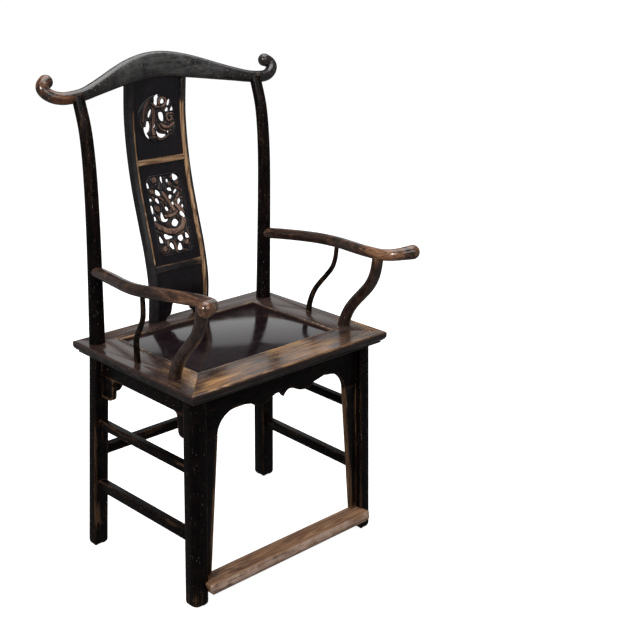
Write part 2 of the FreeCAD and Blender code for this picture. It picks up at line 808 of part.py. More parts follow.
def strip_tongue(clearance):
    """Tongue of a strip in the groove of the leg."""
    side = (apron_thickness - apron_tongue_thickness) / 2

    def plan(z):
        outer = leg_inner_x(False, z)
        front = leg_middle(False, z)[1] - leg_size / 2 + apron_setback
        near = front + side - clearance
        far = front + side + apron_tongue_thickness + clearance
        inside = outer - tongue_depth
        reach = outer + tongue_depth + clearance
        return (inside, near), (reach, near), (reach, far), (inside, far)

    low = footrest_top + footrest_thickness / 2
    return slanted_bar(low - clearance, strip_top - tongue_depth + clearance, plan)


def apron_top_tongue_x(y, half_length, clearance):
    side = (apron_thickness - apron_tongue_thickness) / 2
    return block(-half_length - clearance, half_length + clearance, y + side - clearance,
                 y + side + apron_tongue_thickness + clearance,
                 frame_underside - tongue_depth, frame_underside + tongue_depth + clearance)


def apron_top_tongue_y(x, near, far, clearance):
    side = (apron_thickness - apron_tongue_thickness) / 2
    return block(x - side - apron_tongue_thickness - clearance, x - side + clearance,
                 near - clearance, far + clearance,
                 frame_underside - tongue_depth, frame_underside + tongue_depth + clearance)


def apron_end_tongue(rear, across, clearance, low, high):
    """Tongue at the end of an apron or spandrel in the leg, across the chair or front to back.

    The leg slopes, so the tongue starts well inside the piece and goes a fixed way past its lowest point.
    """
    side = (apron_thickness - apron_tongue_thickness) / 2
    back_off = tongue_depth * 2
    depth = tongue_depth * 2 + clearance
    if across:
        y = rear_apron_y - apron_thickness if rear else front_apron_y
        face = leg_inner_x(rear, spandrel_low)
        return block(face - back_off, face + depth, y + side - clearance,
                     y + side + apron_tongue_thickness + clearance, low - clearance, high + clearance)
    inward = -1 if rear else 1
    face = leg_middle(rear, spandrel_low)[1] + inward * leg_size / 2
    x = side_apron_x - side
    return block(x - apron_tongue_thickness - clearance, x + clearance, face + inward * back_off,
                 face - inward * depth, low - clearance, high + clearance)


def side_apron_blank():
    low = frame_underside - side_apron_height
    near = leg_middle(False, low)[1]
    far = leg_middle(True, low)[1]
    return block(side_apron_x - apron_thickness, side_apron_x, near, far, low, frame_underside)


def spandrel_face(reach, place):
    """Bracket below an apron: a cove where it meets the apron and a small step at its foot."""
    top = frame_underside - side_apron_height
    cove = [place(reach * width, top - spandrel_drop * drop) for width, drop in spandrel_cove_shares]
    heel = [place(reach * width, top - spandrel_drop * drop) for width, drop in spandrel_heel_shares]
    inside_top = place(-overrun / 2, top)
    inside_foot = place(-overrun / 2, top - spandrel_drop)
    edges = [Part.LineSegment(inside_top, cove[0]).toShape(), Part.Arc(*cove).toShape(),
             Part.LineSegment(cove[2], heel[0]).toShape(), Part.Arc(*heel).toShape(),
             Part.LineSegment(heel[2], inside_foot).toShape(),
             Part.LineSegment(inside_foot, inside_top).toShape()]
    return loop_face(edges)


def side_spandrel_blank(rear):
    low = frame_underside - side_apron_height
    face = leg_middle(rear, low)[1] + (leg_size / 2) * (-1 if rear else 1)
    inward = -1 if rear else 1
    reach = spandrel_rear_reach if rear else spandrel_front_reach
    bracket = spandrel_face(reach, lambda out, z: Vector(side_apron_x, face + inward * out, z))
    return bracket.extrude(ACROSS * -apron_thickness)


def rear_spandrel_blank():
    low = frame_underside - side_apron_height
    face = leg_inner_x(True, low)
    bracket = spandrel_face(spandrel_rear_reach, lambda out, z: Vector(face - out, rear_apron_y, z))
    return bracket.extrude(BACKWARD * -apron_thickness)


# Assembly: every piece is cut from its blank by what it meets

nodes = {}


def keep(name, shape):
    solids = shape.Solids
    if len(solids) != 1:
        print("check", name, "has", len(solids), "solids")
    nodes[name] = max(solids, key=lambda solid: solid.Volume)


def keep_pair(name, shape):
    keep(name + "_right", shape)
    keep(name + "_left", mirrored(nodes[name + "_right"]))


front_leg = leg_blank(False)
rear_leg = leg_blank(True)
post = post_blank()
crest = crest_blank()
arm = arm_blank()
neck = neck_blank()
side_post = side_post_blank()

# Legs
side_bars = ((upper_stretcher_height, upper_stretcher_width, upper_stretcher_depth),
             (lower_stretcher_height, lower_stretcher_width, lower_stretcher_depth))
tongue_foot = spandrel_low + spandrel_drop * 0.15
tongue_head = frame_underside - tongue_depth
front_leg_cuts = [cross_tenon(False, footrest_level, tenon_height / 2, fit), strip_tongue(fit),
                  apron_end_tongue(False, True, fit, strip_top + tongue_depth, tongue_head),
                  apron_end_tongue(False, False, fit, tongue_foot, tongue_head)]
rear_leg_cuts = [cross_tenon(True, rear_stretcher_height, tenon_height / 2, fit),
                 apron_end_tongue(True, True, fit, tongue_foot, tongue_head),
                 apron_end_tongue(True, False, fit, tongue_foot, tongue_head)]
for height, width, depth in side_bars:
    front_mortise, rear_mortise = side_tenons(height, fit)
    front_leg_cuts.append(front_mortise)
    rear_leg_cuts.append(rear_mortise)
keep_pair("front_leg", front_leg.fuse(leg_tenon(0)).cut(front_leg_cuts))
rear_timber = rear_leg.fuse(post).cut(crest).fuse(post_top_tenon(0))
keep_pair("rear_leg_post", rear_timber.cut(rear_leg_cuts + [arm_end_tenon(fit)]))

# Seat frame
post_hole = upright_cylinder(leg_top_x, rear_leg_top_y, frame_underside - overrun, seat_height + overrun,
                             post_seat_radius + 2 * fit)
leg_sockets = both_sides([leg_tenon(fit), post_hole])
slot = panel_slot(fit)
batten_sockets = both_sides([batten_tenon(batten_x, fit)])
side_near = leg_middle(False, frame_underside)[1] + leg_size / 2
side_far = leg_middle(True, frame_underside)[1] - leg_size / 2
across_half = leg_inner_x(False, frame_underside)
rear_across_half = leg_inner_x(True, frame_underside)
front_apron_groove = apron_top_tongue_x(front_apron_y, across_half, fit)
rear_apron_groove = apron_top_tongue_x(rear_apron_y - apron_thickness, rear_across_half, fit)
side_apron_groove = apron_top_tongue_y(side_apron_x, side_near, side_far, fit)
apron_grooves = both_sides([side_apron_groove]) + [front_apron_groove, rear_apron_groove]

across_run = ACROSS * seat_width
front_rail = rail_blank(front_rail_width, lambda i, z: Vector(-half_width, -half_depth + i, z), across_run)
front_mitre = mitre_prism([flipped(front_outer), front_outer, front_inner, flipped(front_inner)])
front_rail = front_rail.common(front_mitre)
front_rail = front_rail.fuse(both_sides([corner_tenon(False, 0)]))
keep("seat_rail_front", front_rail.cut(leg_sockets + batten_sockets + [slot, front_apron_groove]))

rear_rail = rail_blank(rear_rail_width, lambda i, z: Vector(-half_width, half_depth - i, z), across_run)
rear_mitre = mitre_prism([flipped(rear_outer), rear_outer, rear_inner, flipped(rear_inner)])
rear_rail = rear_rail.common(rear_mitre)
rear_rail = rear_rail.fuse(both_sides([corner_tenon(True, 0)]))
groove_front = splat_panel_recess - fit
groove_back = splat_panel_recess + splat_panel_thickness + fit
foot_groove = splat_band(groove_front, groove_back, arch_half_width, splat_inner_half,
                         seat_height - tongue_depth - fit, seat_height + fit)
rear_rail_cuts = both_sides([stile_foot_tenon(fit), foot_groove]) + [slot, rear_apron_groove]
keep("seat_rail_rear", rear_rail.cut(leg_sockets + batten_sockets + rear_rail_cuts))

back_run = BACKWARD * seat_depth
side_rail = rail_blank(side_rail_width, lambda i, z: Vector(half_width - i, -half_depth, z), back_run)
side_rail = side_rail.common(mitre_prism([front_outer, rear_outer, rear_inner, front_inner]))
side_rail_cuts = [corner_tenon(False, fit), corner_tenon(True, fit)]
side_rail_cuts += [neck_foot_tenon(fit), side_post_foot_tenon(fit)]
keep_pair("seat_rail", side_rail.cut(leg_sockets + side_rail_cuts + [slot] + apron_grooves))

# Seat panel and battens
panel = block(-opening_half_width + fit, opening_half_width - fit, opening_front + fit, opening_rear - fit,
              panel_underside, seat_height - panel_drop)
panel = panel.fuse(panel_slot(0))
keep("seat_panel", panel.cut(both_sides([dovetail(batten_x, fit)])))
batten = block(batten_x - batten_width / 2, batten_x + batten_width / 2, opening_front, opening_rear,
               panel_underside - batten_height, panel_underside)
keep_pair("seat_batten", batten.fuse([batten_tenon(batten_x, 0), dovetail(batten_x, 0)]))

# Crest rail
splat_top = seat_height + splat_rise
crest_groove = splat_band(groove_front, groove_back, -splat_inner_half - tongue_depth,
                          splat_inner_half + tongue_depth, splat_top - overrun,
                          splat_top + splat_groove_height + fit)
stile_middle = (splat_inner_half + splat_half_width) / 2


def stile_top_tenon(clearance):
    return splat_band(stile_depth * 0.3 - clearance, stile_depth * 0.7 + clearance,
                      stile_middle - stile_width / 4 - clearance, stile_middle + stile_width / 4 + clearance,
                      splat_top - overrun / 2, splat_top + splat_groove_height + clearance)


crest_body = crest.cut(crest_groove)
for mortise in both_sides([stile_top_tenon(fit), post_top_tenon(fit)]):
    crest_body = crest_body.cut(mortise)
keep("crest_rail", crest_body)

# Splat
rail_tenon_front = stile_depth * 0.25
rail_tenon_back = stile_depth * 0.7
rail_levels = ((upper_rail_rise, upper_rail_height), (lower_rail_rise, lower_rail_height))


def splat_rail_tenons(rise, height, clearance):
    """Both tenons of a cross rail, with the wood between them."""
    reach = splat_inner_half + stile_width * 0.5 + clearance
    low = seat_height + rise - height * 0.3 - clearance
    high = seat_height + rise + height * 0.3 + clearance
    return splat_band(rail_tenon_front - clearance, rail_tenon_back + clearance, -reach, reach, low, high)


panel_front = splat_panel_recess
panel_back = splat_panel_recess + splat_panel_thickness
ridge = blend(splat_inner_half, splat_half_width, stile_ridge_share)
stile_slopes = []
for edge, fall in ((splat_inner_half, stile_inner_slope), (splat_half_width, stile_outer_slope)):
    stile_slopes.append(splat_slab(-overrun, 0, ridge, Vector(edge - ridge, fall, 0) * 2))
stile_top = splat_top + splat_groove_height
stile = splat_band(0, stile_depth, splat_inner_half, splat_half_width, seat_height, stile_top)
stile = stile.cut(stile_slopes)
stile_groove = splat_band(panel_front - fit, panel_back + fit, splat_inner_half - overrun,
                          splat_inner_half + tongue_depth, seat_height - overrun, stile_top + overrun)
stile = stile.cut([crest, stile_groove])
stile = max(stile.Solids, key=lambda solid: solid.Volume)
stile = stile.fuse([stile_foot_tenon(0), stile_top_tenon(0)])
stile_mortises = [splat_rail_tenons(rise, height, fit) for rise, height in rail_levels]
keep_pair("splat_stile", stile.cut(stile_mortises))

rail_groove_cuts = []
for rise, height in rail_levels:
    for sign in (-1, 1):
        edge = seat_height + rise + sign * height / 2
        far = edge - sign * tongue_depth
        reach = splat_inner_half + tongue_depth
        rail_groove_cuts.append(splat_band(panel_front - fit, panel_back + fit, -reach, reach,
                                           min(edge, far), max(edge, far)))
for name, (rise, height) in zip(("splat_rail_upper", "splat_rail_lower"), rail_levels):
    low = seat_height + rise - height / 2
    body = splat_band(stile_inner_slope, stile_depth, -splat_inner_half, splat_inner_half, low, low + height)
    keep(name, body.fuse(splat_rail_tenons(rise, height, 0)).cut(rail_groove_cuts))


def splat_panel(low, high):
    reach = splat_inner_half + tongue_depth - fit
    return splat_band(panel_front, panel_back, -reach, reach, low, high)


def pierced_openings(rows, size, level):
    """Cutters for pointed openings, whose places and sizes are shares of the carving's size."""
    cutters = []
    for across, up, length, width, turn in rows:
        middle = Vector(across * size, 0, level + up * size)
        lean = FreeCAD.Rotation(BACKWARD, math.degrees(turn * math.pi))
        corners = []
        for side, rise in opening_corner_shares:
            corners.append(middle + lean.multVec(Vector(width * side, 0, length * rise) * size))
        cutters.append(polyline_face(corners).extrude(BACKWARD * seat_depth))
    return cutters


inside = tongue_depth - fit
top_low = seat_height + upper_rail_rise + upper_rail_height / 2 - inside
top_high = splat_top + splat_groove_height
medallion_level = seat_height + blend(upper_rail_rise, splat_rise, medallion_level_share)
medallion_openings = pierced_openings(medallion_opening_shares, medallion_radius, medallion_level)
keep("splat_panel_top", splat_panel(top_low, top_high).cut(medallion_openings))
middle_low = seat_height + lower_rail_rise + lower_rail_height / 2 - inside
middle_high = seat_height + upper_rail_rise - upper_rail_height / 2 + inside
window_level = seat_height + blend(lower_rail_rise, upper_rail_rise, window_level_share)
window_openings = pierced_openings(window_opening_shares, window_half_height, window_level)
keep("splat_panel_middle", splat_panel(middle_low, middle_high).cut(window_openings))

arch_points = []
for width_share, rise_share in arch_shares:
    arch_points.append(Vector(arch_half_width * width_share, 0, seat_height + arch_rise * rise_share))
arch_low = seat_height - overrun
foot_outline = [Vector(arch_half_width, 0, arch_low)] + arch_points
foot_outline += [Vector(-point.x, 0, point.z) for point in reversed(arch_points[:-1])]
foot_outline.append(Vector(-arch_half_width, 0, arch_low))
arch = polyline_face(foot_outline).extrude(BACKWARD * seat_depth)
bottom_high = seat_height + lower_rail_rise - lower_rail_height / 2 + inside
keep("splat_panel_bottom", splat_panel(seat_height - inside, bottom_high).cut(arch))

# Arms and their posts
arm_body = arm.cut(rear_leg.fuse(post))
arm_body = max(arm_body.Solids, key=lambda solid: solid.Volume)
neck_dowel_radius = neck_radius * 0.45
side_dowel_radius = side_post_top_radius * 0.6
dowels = [arm_dowel(neck_top, neck_dowel_radius, fit), arm_dowel(side_post_top, side_dowel_radius, fit)]
keep_pair("arm", arm_body.fuse(arm_end_tenon(0)).cut(dowels))


def standing_post(blank, dowel, foot):
    body = blank.cut([below_seat, arm])
    body = max(body.Solids, key=lambda solid: solid.Volume)
    return body.fuse([dowel, foot])


neck_dowel = arm_dowel(neck_top, neck_dowel_radius, 0)
side_dowel = arm_dowel(side_post_top, side_dowel_radius, 0)
keep_pair("arm_front_post", standing_post(neck, neck_dowel, neck_foot_tenon(0)))
keep_pair("arm_side_post", standing_post(side_post, side_dowel, side_post_foot_tenon(0)))

# Stretchers and footrest
for name, (height, width, depth) in zip(("upper", "lower"), side_bars):
    bar = side_stretcher(height, width, depth).cut([front_leg, rear_leg])
    keep_pair("side_stretcher_" + name, bar.fuse(side_tenons(height, 0)))
rear_cx, rear_cy = leg_middle(True, rear_stretcher_height)
rear_section = bar_section(lambda a, b: Vector(-rear_cx, rear_cy + a, rear_stretcher_height + b),
                           rear_stretcher_width / 2, rear_stretcher_depth / 2)
rear_bar = Part.Face(rear_section).extrude(ACROSS * (2 * rear_cx)).cut(both_sides([rear_leg]))
rear_tenons = both_sides([cross_tenon(True, rear_stretcher_height, tenon_height / 2, 0)])
keep("rear_stretcher", rear_bar.fuse(rear_tenons))
footrest = footrest_blank().cut(both_sides([front_leg]))
footrest = footrest.fuse(both_sides([cross_tenon(False, footrest_level, tenon_height / 2, 0)]))
keep("footrest", footrest)

# Aprons
front_apron = front_apron_blank().cut(both_sides([front_leg]))
front_tongue = apron_end_tongue(False, True, 0, strip_top + tongue_depth, tongue_head)
front_apron = front_apron.fuse(both_sides([front_tongue]))
keep("front_apron", front_apron.fuse(apron_top_tongue_x(front_apron_y, across_half, 0)))
strip = strip_blank().cut(footrest_blank())
strip = max(strip.Solids, key=lambda solid: solid.CenterOfMass.z)
keep_pair("front_apron_strip", strip.fuse(strip_tongue(0)))

side_apron = side_apron_blank().cut([front_leg, rear_leg, post])
side_ends = []
for rear in (False, True):
    side_ends.append(apron_end_tongue(rear, False, 0, apron_low + tongue_depth, tongue_head))
side_top = apron_top_tongue_y(side_apron_x, side_near, side_far, 0)
keep_pair("side_apron", side_apron.fuse(side_ends + [side_top]))
for name, rear in (("front", False), ("rear", True)):
    bracket = side_spandrel_blank(rear).cut(rear_leg if rear else front_leg)
    bracket = min(bracket.Solids, key=lambda solid: abs(solid.CenterOfMass.y))
    end = apron_end_tongue(rear, False, 0, tongue_foot, apron_low - tongue_depth)
    keep_pair("side_spandrel_" + name, bracket.fuse(end))

rear_half = leg_middle(True, apron_low)[0]
rear_front = rear_apron_y - apron_thickness
rear_apron = block(-rear_half, rear_half, rear_front, rear_apron_y, apron_low, frame_underside)
rear_apron = rear_apron.cut(both_sides([rear_leg]))
rear_end = apron_end_tongue(True, True, 0, apron_low + tongue_depth, tongue_head)
rear_top = apron_top_tongue_x(rear_front, rear_across_half, 0)
keep("rear_apron", rear_apron.fuse(both_sides([rear_end]) + [rear_top]))
bracket = rear_spandrel_blank().cut(rear_leg)
bracket = min(bracket.Solids, key=lambda solid: abs(solid.CenterOfMass.x))
end = apron_end_tongue(True, True, 0, tongue_foot, apron_low - tongue_depth)
keep_pair("rear_spandrel", bracket.fuse(end))

# Set the chair over the middle of its own footprint and write the pieces
whole = Part.makeCompound(list(nodes.values()))
bounds = whole.optimalBoundingBox(False)
shift = Vector(0, -(bounds.YMin + bounds.YMax) / 2, 0)
os.makedirs("parts", exist_ok=True)
for name, shape in nodes.items():
    shape.translate(shift)
    shape.exportStep("parts/" + name + ".step")
print(len(nodes), "pieces, set back by", round(shift.y, 2))
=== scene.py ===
import math

import bmesh
import bpy
import numpy as np
from mathutils import Matrix, Vector, noise


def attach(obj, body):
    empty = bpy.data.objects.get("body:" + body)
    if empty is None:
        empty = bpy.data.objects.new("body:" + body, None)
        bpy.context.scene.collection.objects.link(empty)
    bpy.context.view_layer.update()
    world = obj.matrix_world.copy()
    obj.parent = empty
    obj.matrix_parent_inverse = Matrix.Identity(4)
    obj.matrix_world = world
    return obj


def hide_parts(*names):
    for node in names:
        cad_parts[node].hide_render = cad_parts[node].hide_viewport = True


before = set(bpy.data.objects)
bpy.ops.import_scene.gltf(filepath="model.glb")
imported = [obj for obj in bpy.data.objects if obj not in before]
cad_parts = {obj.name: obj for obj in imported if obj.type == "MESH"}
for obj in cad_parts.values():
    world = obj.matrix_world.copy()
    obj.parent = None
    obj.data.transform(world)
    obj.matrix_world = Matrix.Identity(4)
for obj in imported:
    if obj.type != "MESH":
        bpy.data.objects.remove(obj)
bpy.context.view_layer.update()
print("frame loaded:", len(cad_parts), "nodes")

up = Vector((0, 0, 1))
rightward = Vector((1, 0, 0))
backward = Vector((0, 1, 0))

# Driving sizes, as in the part

mm = 0.001
seatWidth = 570 * mm
seatDepth = 446 * mm
seatTop = 510 * mm
frameUnderside = seatTop - 27 * mm
frontRail = 95 * mm
rearRail = 67 * mm
sideRail = 88 * mm
setBack = 12.71 * mm  # the chair stands this far back over its own footprint
legInset = 46.5 * mm  # from the front or back of the frame to the middle of a leg
legTopX = seatWidth / 2 - 36 * mm
rearLegY = seatDepth / 2 - legInset + setBack
frontLegY = legInset - seatDepth / 2 + setBack


# Shader sums: a Paint is one socket of a material's tree

class Paint:
    def __init__(self, tree, socket=None):
        self.tree = tree
        self.socket = socket

    def make(self, kind, settings=None, values=None, output=0):
        node = self.tree.nodes.new(kind)
        for name, value in (settings or {}).items():
            setattr(node, name, value)
        for name, value in (values or {}).items():
            entry = node.inputs[name]
            if isinstance(value, Paint):
                self.tree.links.new(value.socket, entry)
            elif isinstance(value, tuple) and len(value) < len(entry.default_value):
                entry.default_value = (*value, 1)  # a colour and its alpha
            else:
                entry.default_value = value
        return Paint(self.tree, node.outputs[output] if node.outputs else None)

    def maths(self, operation, first, second=0.0):
        return self.make("ShaderNodeMath", {"operation": operation}, {0: first, 1: second})

    def __add__(self, other):
        return self.maths("ADD", self, other)

    def __radd__(self, other):
        return self.maths("ADD", other, self)

    def __sub__(self, other):
        return self.maths("SUBTRACT", self, other)

    def __rsub__(self, other):
        return self.maths("SUBTRACT", other, self)

    def __mul__(self, other):
        return self.maths("MULTIPLY", self, other)

    def __rmul__(self, other):
        return self.maths("MULTIPLY", other, self)

    def __abs__(self):
        return self.maths("ABSOLUTE", self)

    def over(self, low, high):  # eased step from 0 at low to 1 at high
        return self.make("ShaderNodeMapRange", {"interpolation_type": "SMOOTHSTEP"},
                         {"Value": self, "From Min": low, "From Max": high})

    def noise(self, place, stretch, detail, roughness, distortion):
        vector = self.make("ShaderNodeVectorMath", {"operation": "MULTIPLY"}, {0: place, 1: stretch})
        return self.make("ShaderNodeTexNoise", {}, {"Vector": vector, "Scale": 1.0, "Detail": detail,
                                                    "Roughness": roughness, "Distortion": distortion})

    def blend(self, factor, first, second):
        return self.make("ShaderNodeMix", {"data_type": "RGBA"}, {0: factor, 6: first, 7: second}, 2)


# Finishes: colours are linear. Wood shows through the lacquer where bias, edge, patch, streak and zones
# add up to more than nothing. A zone is a way, where it starts, where it is full and how much it adds.

usual = {"fade": 0.5, "lined": 0.2, "rare": 0.69, "filmAndLightOnWood": 0.0, "coat": 0.0, "zones": []}
finishes = {
    "legLacquer": {
        "dark": (0.0018, 0.0014, 0.0016), "tint": (0.011, 0.0055, 0.0045), "wood": (0.055, 0.026, 0.014),
        "woodLight": (0.17, 0.095, 0.052), "bias": -0.52, "edge": 1.15, "patch": 1.3, "streak": 1.3,
        "edgeReach": 0.006, "gloss": 0.36, "woodGloss": 0.50, "specks": 0.7, "rare": 0.68, "shine": 0.10,
        "zones": [("z", 0.20, 0.0, 0.22)]},
    "stripLacquer": {
        "dark": (0.0018, 0.0014, 0.0016), "tint": (0.011, 0.0055, 0.0045), "wood": (0.07, 0.034, 0.018),
        "woodLight": (0.26, 0.15, 0.08), "bias": -0.60, "edge": 1.9, "patch": 1.3, "streak": 1.5,
        "edgeReach": 0.010, "gloss": 0.36, "woodGloss": 0.44, "specks": 0.6, "shine": 0.2,
        "zones": [("z", 0.20, 0.05, 0.25), ("z", 0.365, 0.39, -2.0)]},
    "frameLacquer": {
        "dark": (0.038, 0.022, 0.018), "tint": (0.085, 0.050, 0.042), "wood": (0.120, 0.054, 0.028),
        "woodLight": (0.43, 0.235, 0.10), "bias": 0.04, "edge": 0.25, "patch": 1.2, "streak": 0.45,
        "edgeReach": 0.006, "gloss": 0.24, "woodGloss": 0.30, "specks": 0.6, "coat": 0.05, "shine": 0.42,
        "fade": 1.0, "lined": 0.5, "film": ((0.004, 0.0035, 0.004), "z", 0.506, 0.5015),
        "zones": [("y", 0.06, -0.17, 0.50), ("z", 0.5085, 0.5030, -1.8), ("x", 0.06, 0.26, -0.30),
                  ("x", -0.20, -0.27, -0.30)]},
    "beadLacquer": {
        "dark": (0.010, 0.006, 0.006), "tint": (0.030, 0.018, 0.017), "wood": (0.115, 0.058, 0.034),
        "woodLight": (0.42, 0.25, 0.12), "bias": -0.40, "edge": 0.3, "patch": 0.9, "streak": 0.8,
        "edgeReach": 0.002, "gloss": 0.22, "woodGloss": 0.30, "specks": 0.3, "coat": 0.1, "shine": 0.5,
        "zones": [("y", 0.06, -0.17, 0.35)]},
    "panelLacquer": {
        "dark": (0.007, 0.0035, 0.005), "tint": (0.020, 0.010, 0.013), "wood": (0.05, 0.02, 0.014),
        "woodLight": (0.10, 0.05, 0.03), "bias": -0.75, "edge": 0.2, "patch": 0.5, "streak": 0.7,
        "edgeReach": 0.004, "gloss": 0.14, "woodGloss": 0.25, "specks": 0.15, "coat": 0.2, "shine": 0.5},
    "underWood": {
        "dark": (0.02, 0.012, 0.008), "tint": (0.05, 0.03, 0.02), "wood": (0.09, 0.05, 0.03),
        "woodLight": (0.14, 0.09, 0.05), "bias": -0.1, "edge": 0.3, "patch": 0.8, "streak": 1.0,
        "edgeReach": 0.005, "gloss": 0.6, "woodGloss": 0.7, "specks": 0.2, "shine": 0.2},
    "carvedLacquer": {
        "dark": (0.0055, 0.0045, 0.0065), "tint": (0.013, 0.009, 0.012), "wood": (0.12, 0.060, 0.042),
        "woodLight": (0.33, 0.20, 0.14), "bias": -0.72, "edge": 0.25, "patch": 0.4, "streak": 0.5,
        "edgeReach": 0.002, "gloss": 0.28, "woodGloss": 0.30, "specks": 0.3, "shine": 0.5, "carving": 1.15},
    "wornRidge": {
        "dark": (0.010, 0.009, 0.010), "tint": (0.032, 0.026, 0.025), "wood": (0.15, 0.075, 0.038),
        "woodLight": (0.56, 0.35, 0.19), "bias": -0.66, "edge": 0.25, "patch": 0.7, "streak": 1.2,
        "edgeReach": 0.004, "gloss": 0.34, "woodGloss": 0.30, "specks": 0.2, "shine": 0.5,
        "zones": [("side", 0.0742, 0.0728, 1.0), ("x", 0.03, 0.06, 0.42), ("z", 1.05, 0.98, 0.30),
                  ("z", 0.665, 0.645, -0.8), ("z", 0.995, 1.025, -0.75)]},
    "armLacquer": {
        "dark": (0.016, 0.009, 0.007), "tint": (0.080, 0.040, 0.029), "wood": (0.12, 0.050, 0.026),
        "woodLight": (0.36, 0.180, 0.095), "bias": 0.20, "edge": 0.2, "patch": 1.2, "streak": 0.7,
        "edgeReach": 0.004, "gloss": 0.17, "woodGloss": 0.22, "specks": 0.3, "coat": 0.3, "shine": 0.5,
        "fade": 0.8, "zones": [("y", -0.16, -0.27, 0.30), ("z", 0.695, 0.65, -0.85)]},
    "crestLacquer": {
        "dark": (0.008, 0.007, 0.007), "tint": (0.022, 0.017, 0.016), "wood": (0.14, 0.047, 0.019),
        "woodLight": (0.31, 0.125, 0.048), "bias": -0.66, "edge": 0.3, "patch": 0.9, "streak": 0.8,
        "edgeReach": 0.006, "gloss": 0.20, "woodGloss": 0.22, "specks": 1.3, "rare": 0.655, "coat": 0.1,
        # the crest's grey film is dust with painted sheen on its middle
        "shine": 0.6, "fade": 0.7, "film": ((0.075, 0.074, 0.073), "side", 0.21, 0.09),
        "zones": [("x", -0.16, -0.31, 1.0), ("x", 0.18, 0.32, 0.45)]},
    "footrestWood": {
        "dark": (0.06, 0.030, 0.018), "tint": (0.12, 0.062, 0.038), "wood": (0.175, 0.078, 0.034),
        "woodLight": (0.42, 0.225, 0.115), "bias": 0.42, "edge": 0.1, "patch": 0.7, "streak": 0.9,
        "edgeReach": 0.006, "gloss": 0.50, "woodGloss": 0.52, "specks": 0.2, "shine": 0.35,
        # the footrest's pale film is rubbed wood with painted light on its front face
        "film": ((0.60, 0.43, 0.34), "y", -0.1975, -0.2015), "filmAndLightOnWood": 0.95}}

grainAxes = {"x": (9, 170, 170), "y": (170, 9, 170), "z": (170, 170, 9)}  # cells per metre
noises = {  # cells per metre, share of the grain's cells added, detail, roughness, distortion
    "grain": (0, 1, 8, 0.62, 0.4), "figure": (0, 0.22, 1.5, 0.45, 0.6), "patch": (6, 0.08, 5, 0.6, 0),
    "mottle": (38, 0, 4, 0.6, 0), "speck": (90, 2, 2, 0.5, 0)}
aging = {
    "contours": 70, "shadeSamples": 6, "edgeGain": 2.2, "patchGain": 2.4, "streakGain": 1.6,
    "carvedRange": (0.35, 0.95), "mottleRange": (0.35, 0.7), "grainRange": (0.50, 0.68),
    "grainInWood": 0.45, "figureInWood": 0.55, "woodRange": (0.34, 0.68),
    "filmAndLightLeast": 0.1, "filmAndLightRange": (0.33, 0.62),
    # painted shade with some dirt: creases and hollows found by ambient occlusion are darkened
    "dirtAndShadeReach": 0.008, "dirtAndShadeRange": (0.1, 0.75), "dirtAndShadeDark": 0.8,
    "speckRange": 0.05, "speckShown": 0.6, "speckColour": (0.30, 0.24, 0.18),
    "mottleRough": 0.16, "speckRough": 0.2, "filmAndLightRough": 0.22, "coatRough": 0.12,
    "grainHigh": 0.25, "grainHighWorn": 0.5, "mottleHigh": 0.25, "wearDeep": 0.35,
    "bumpStrength": 0.22, "bumpDistance": 0.0006}


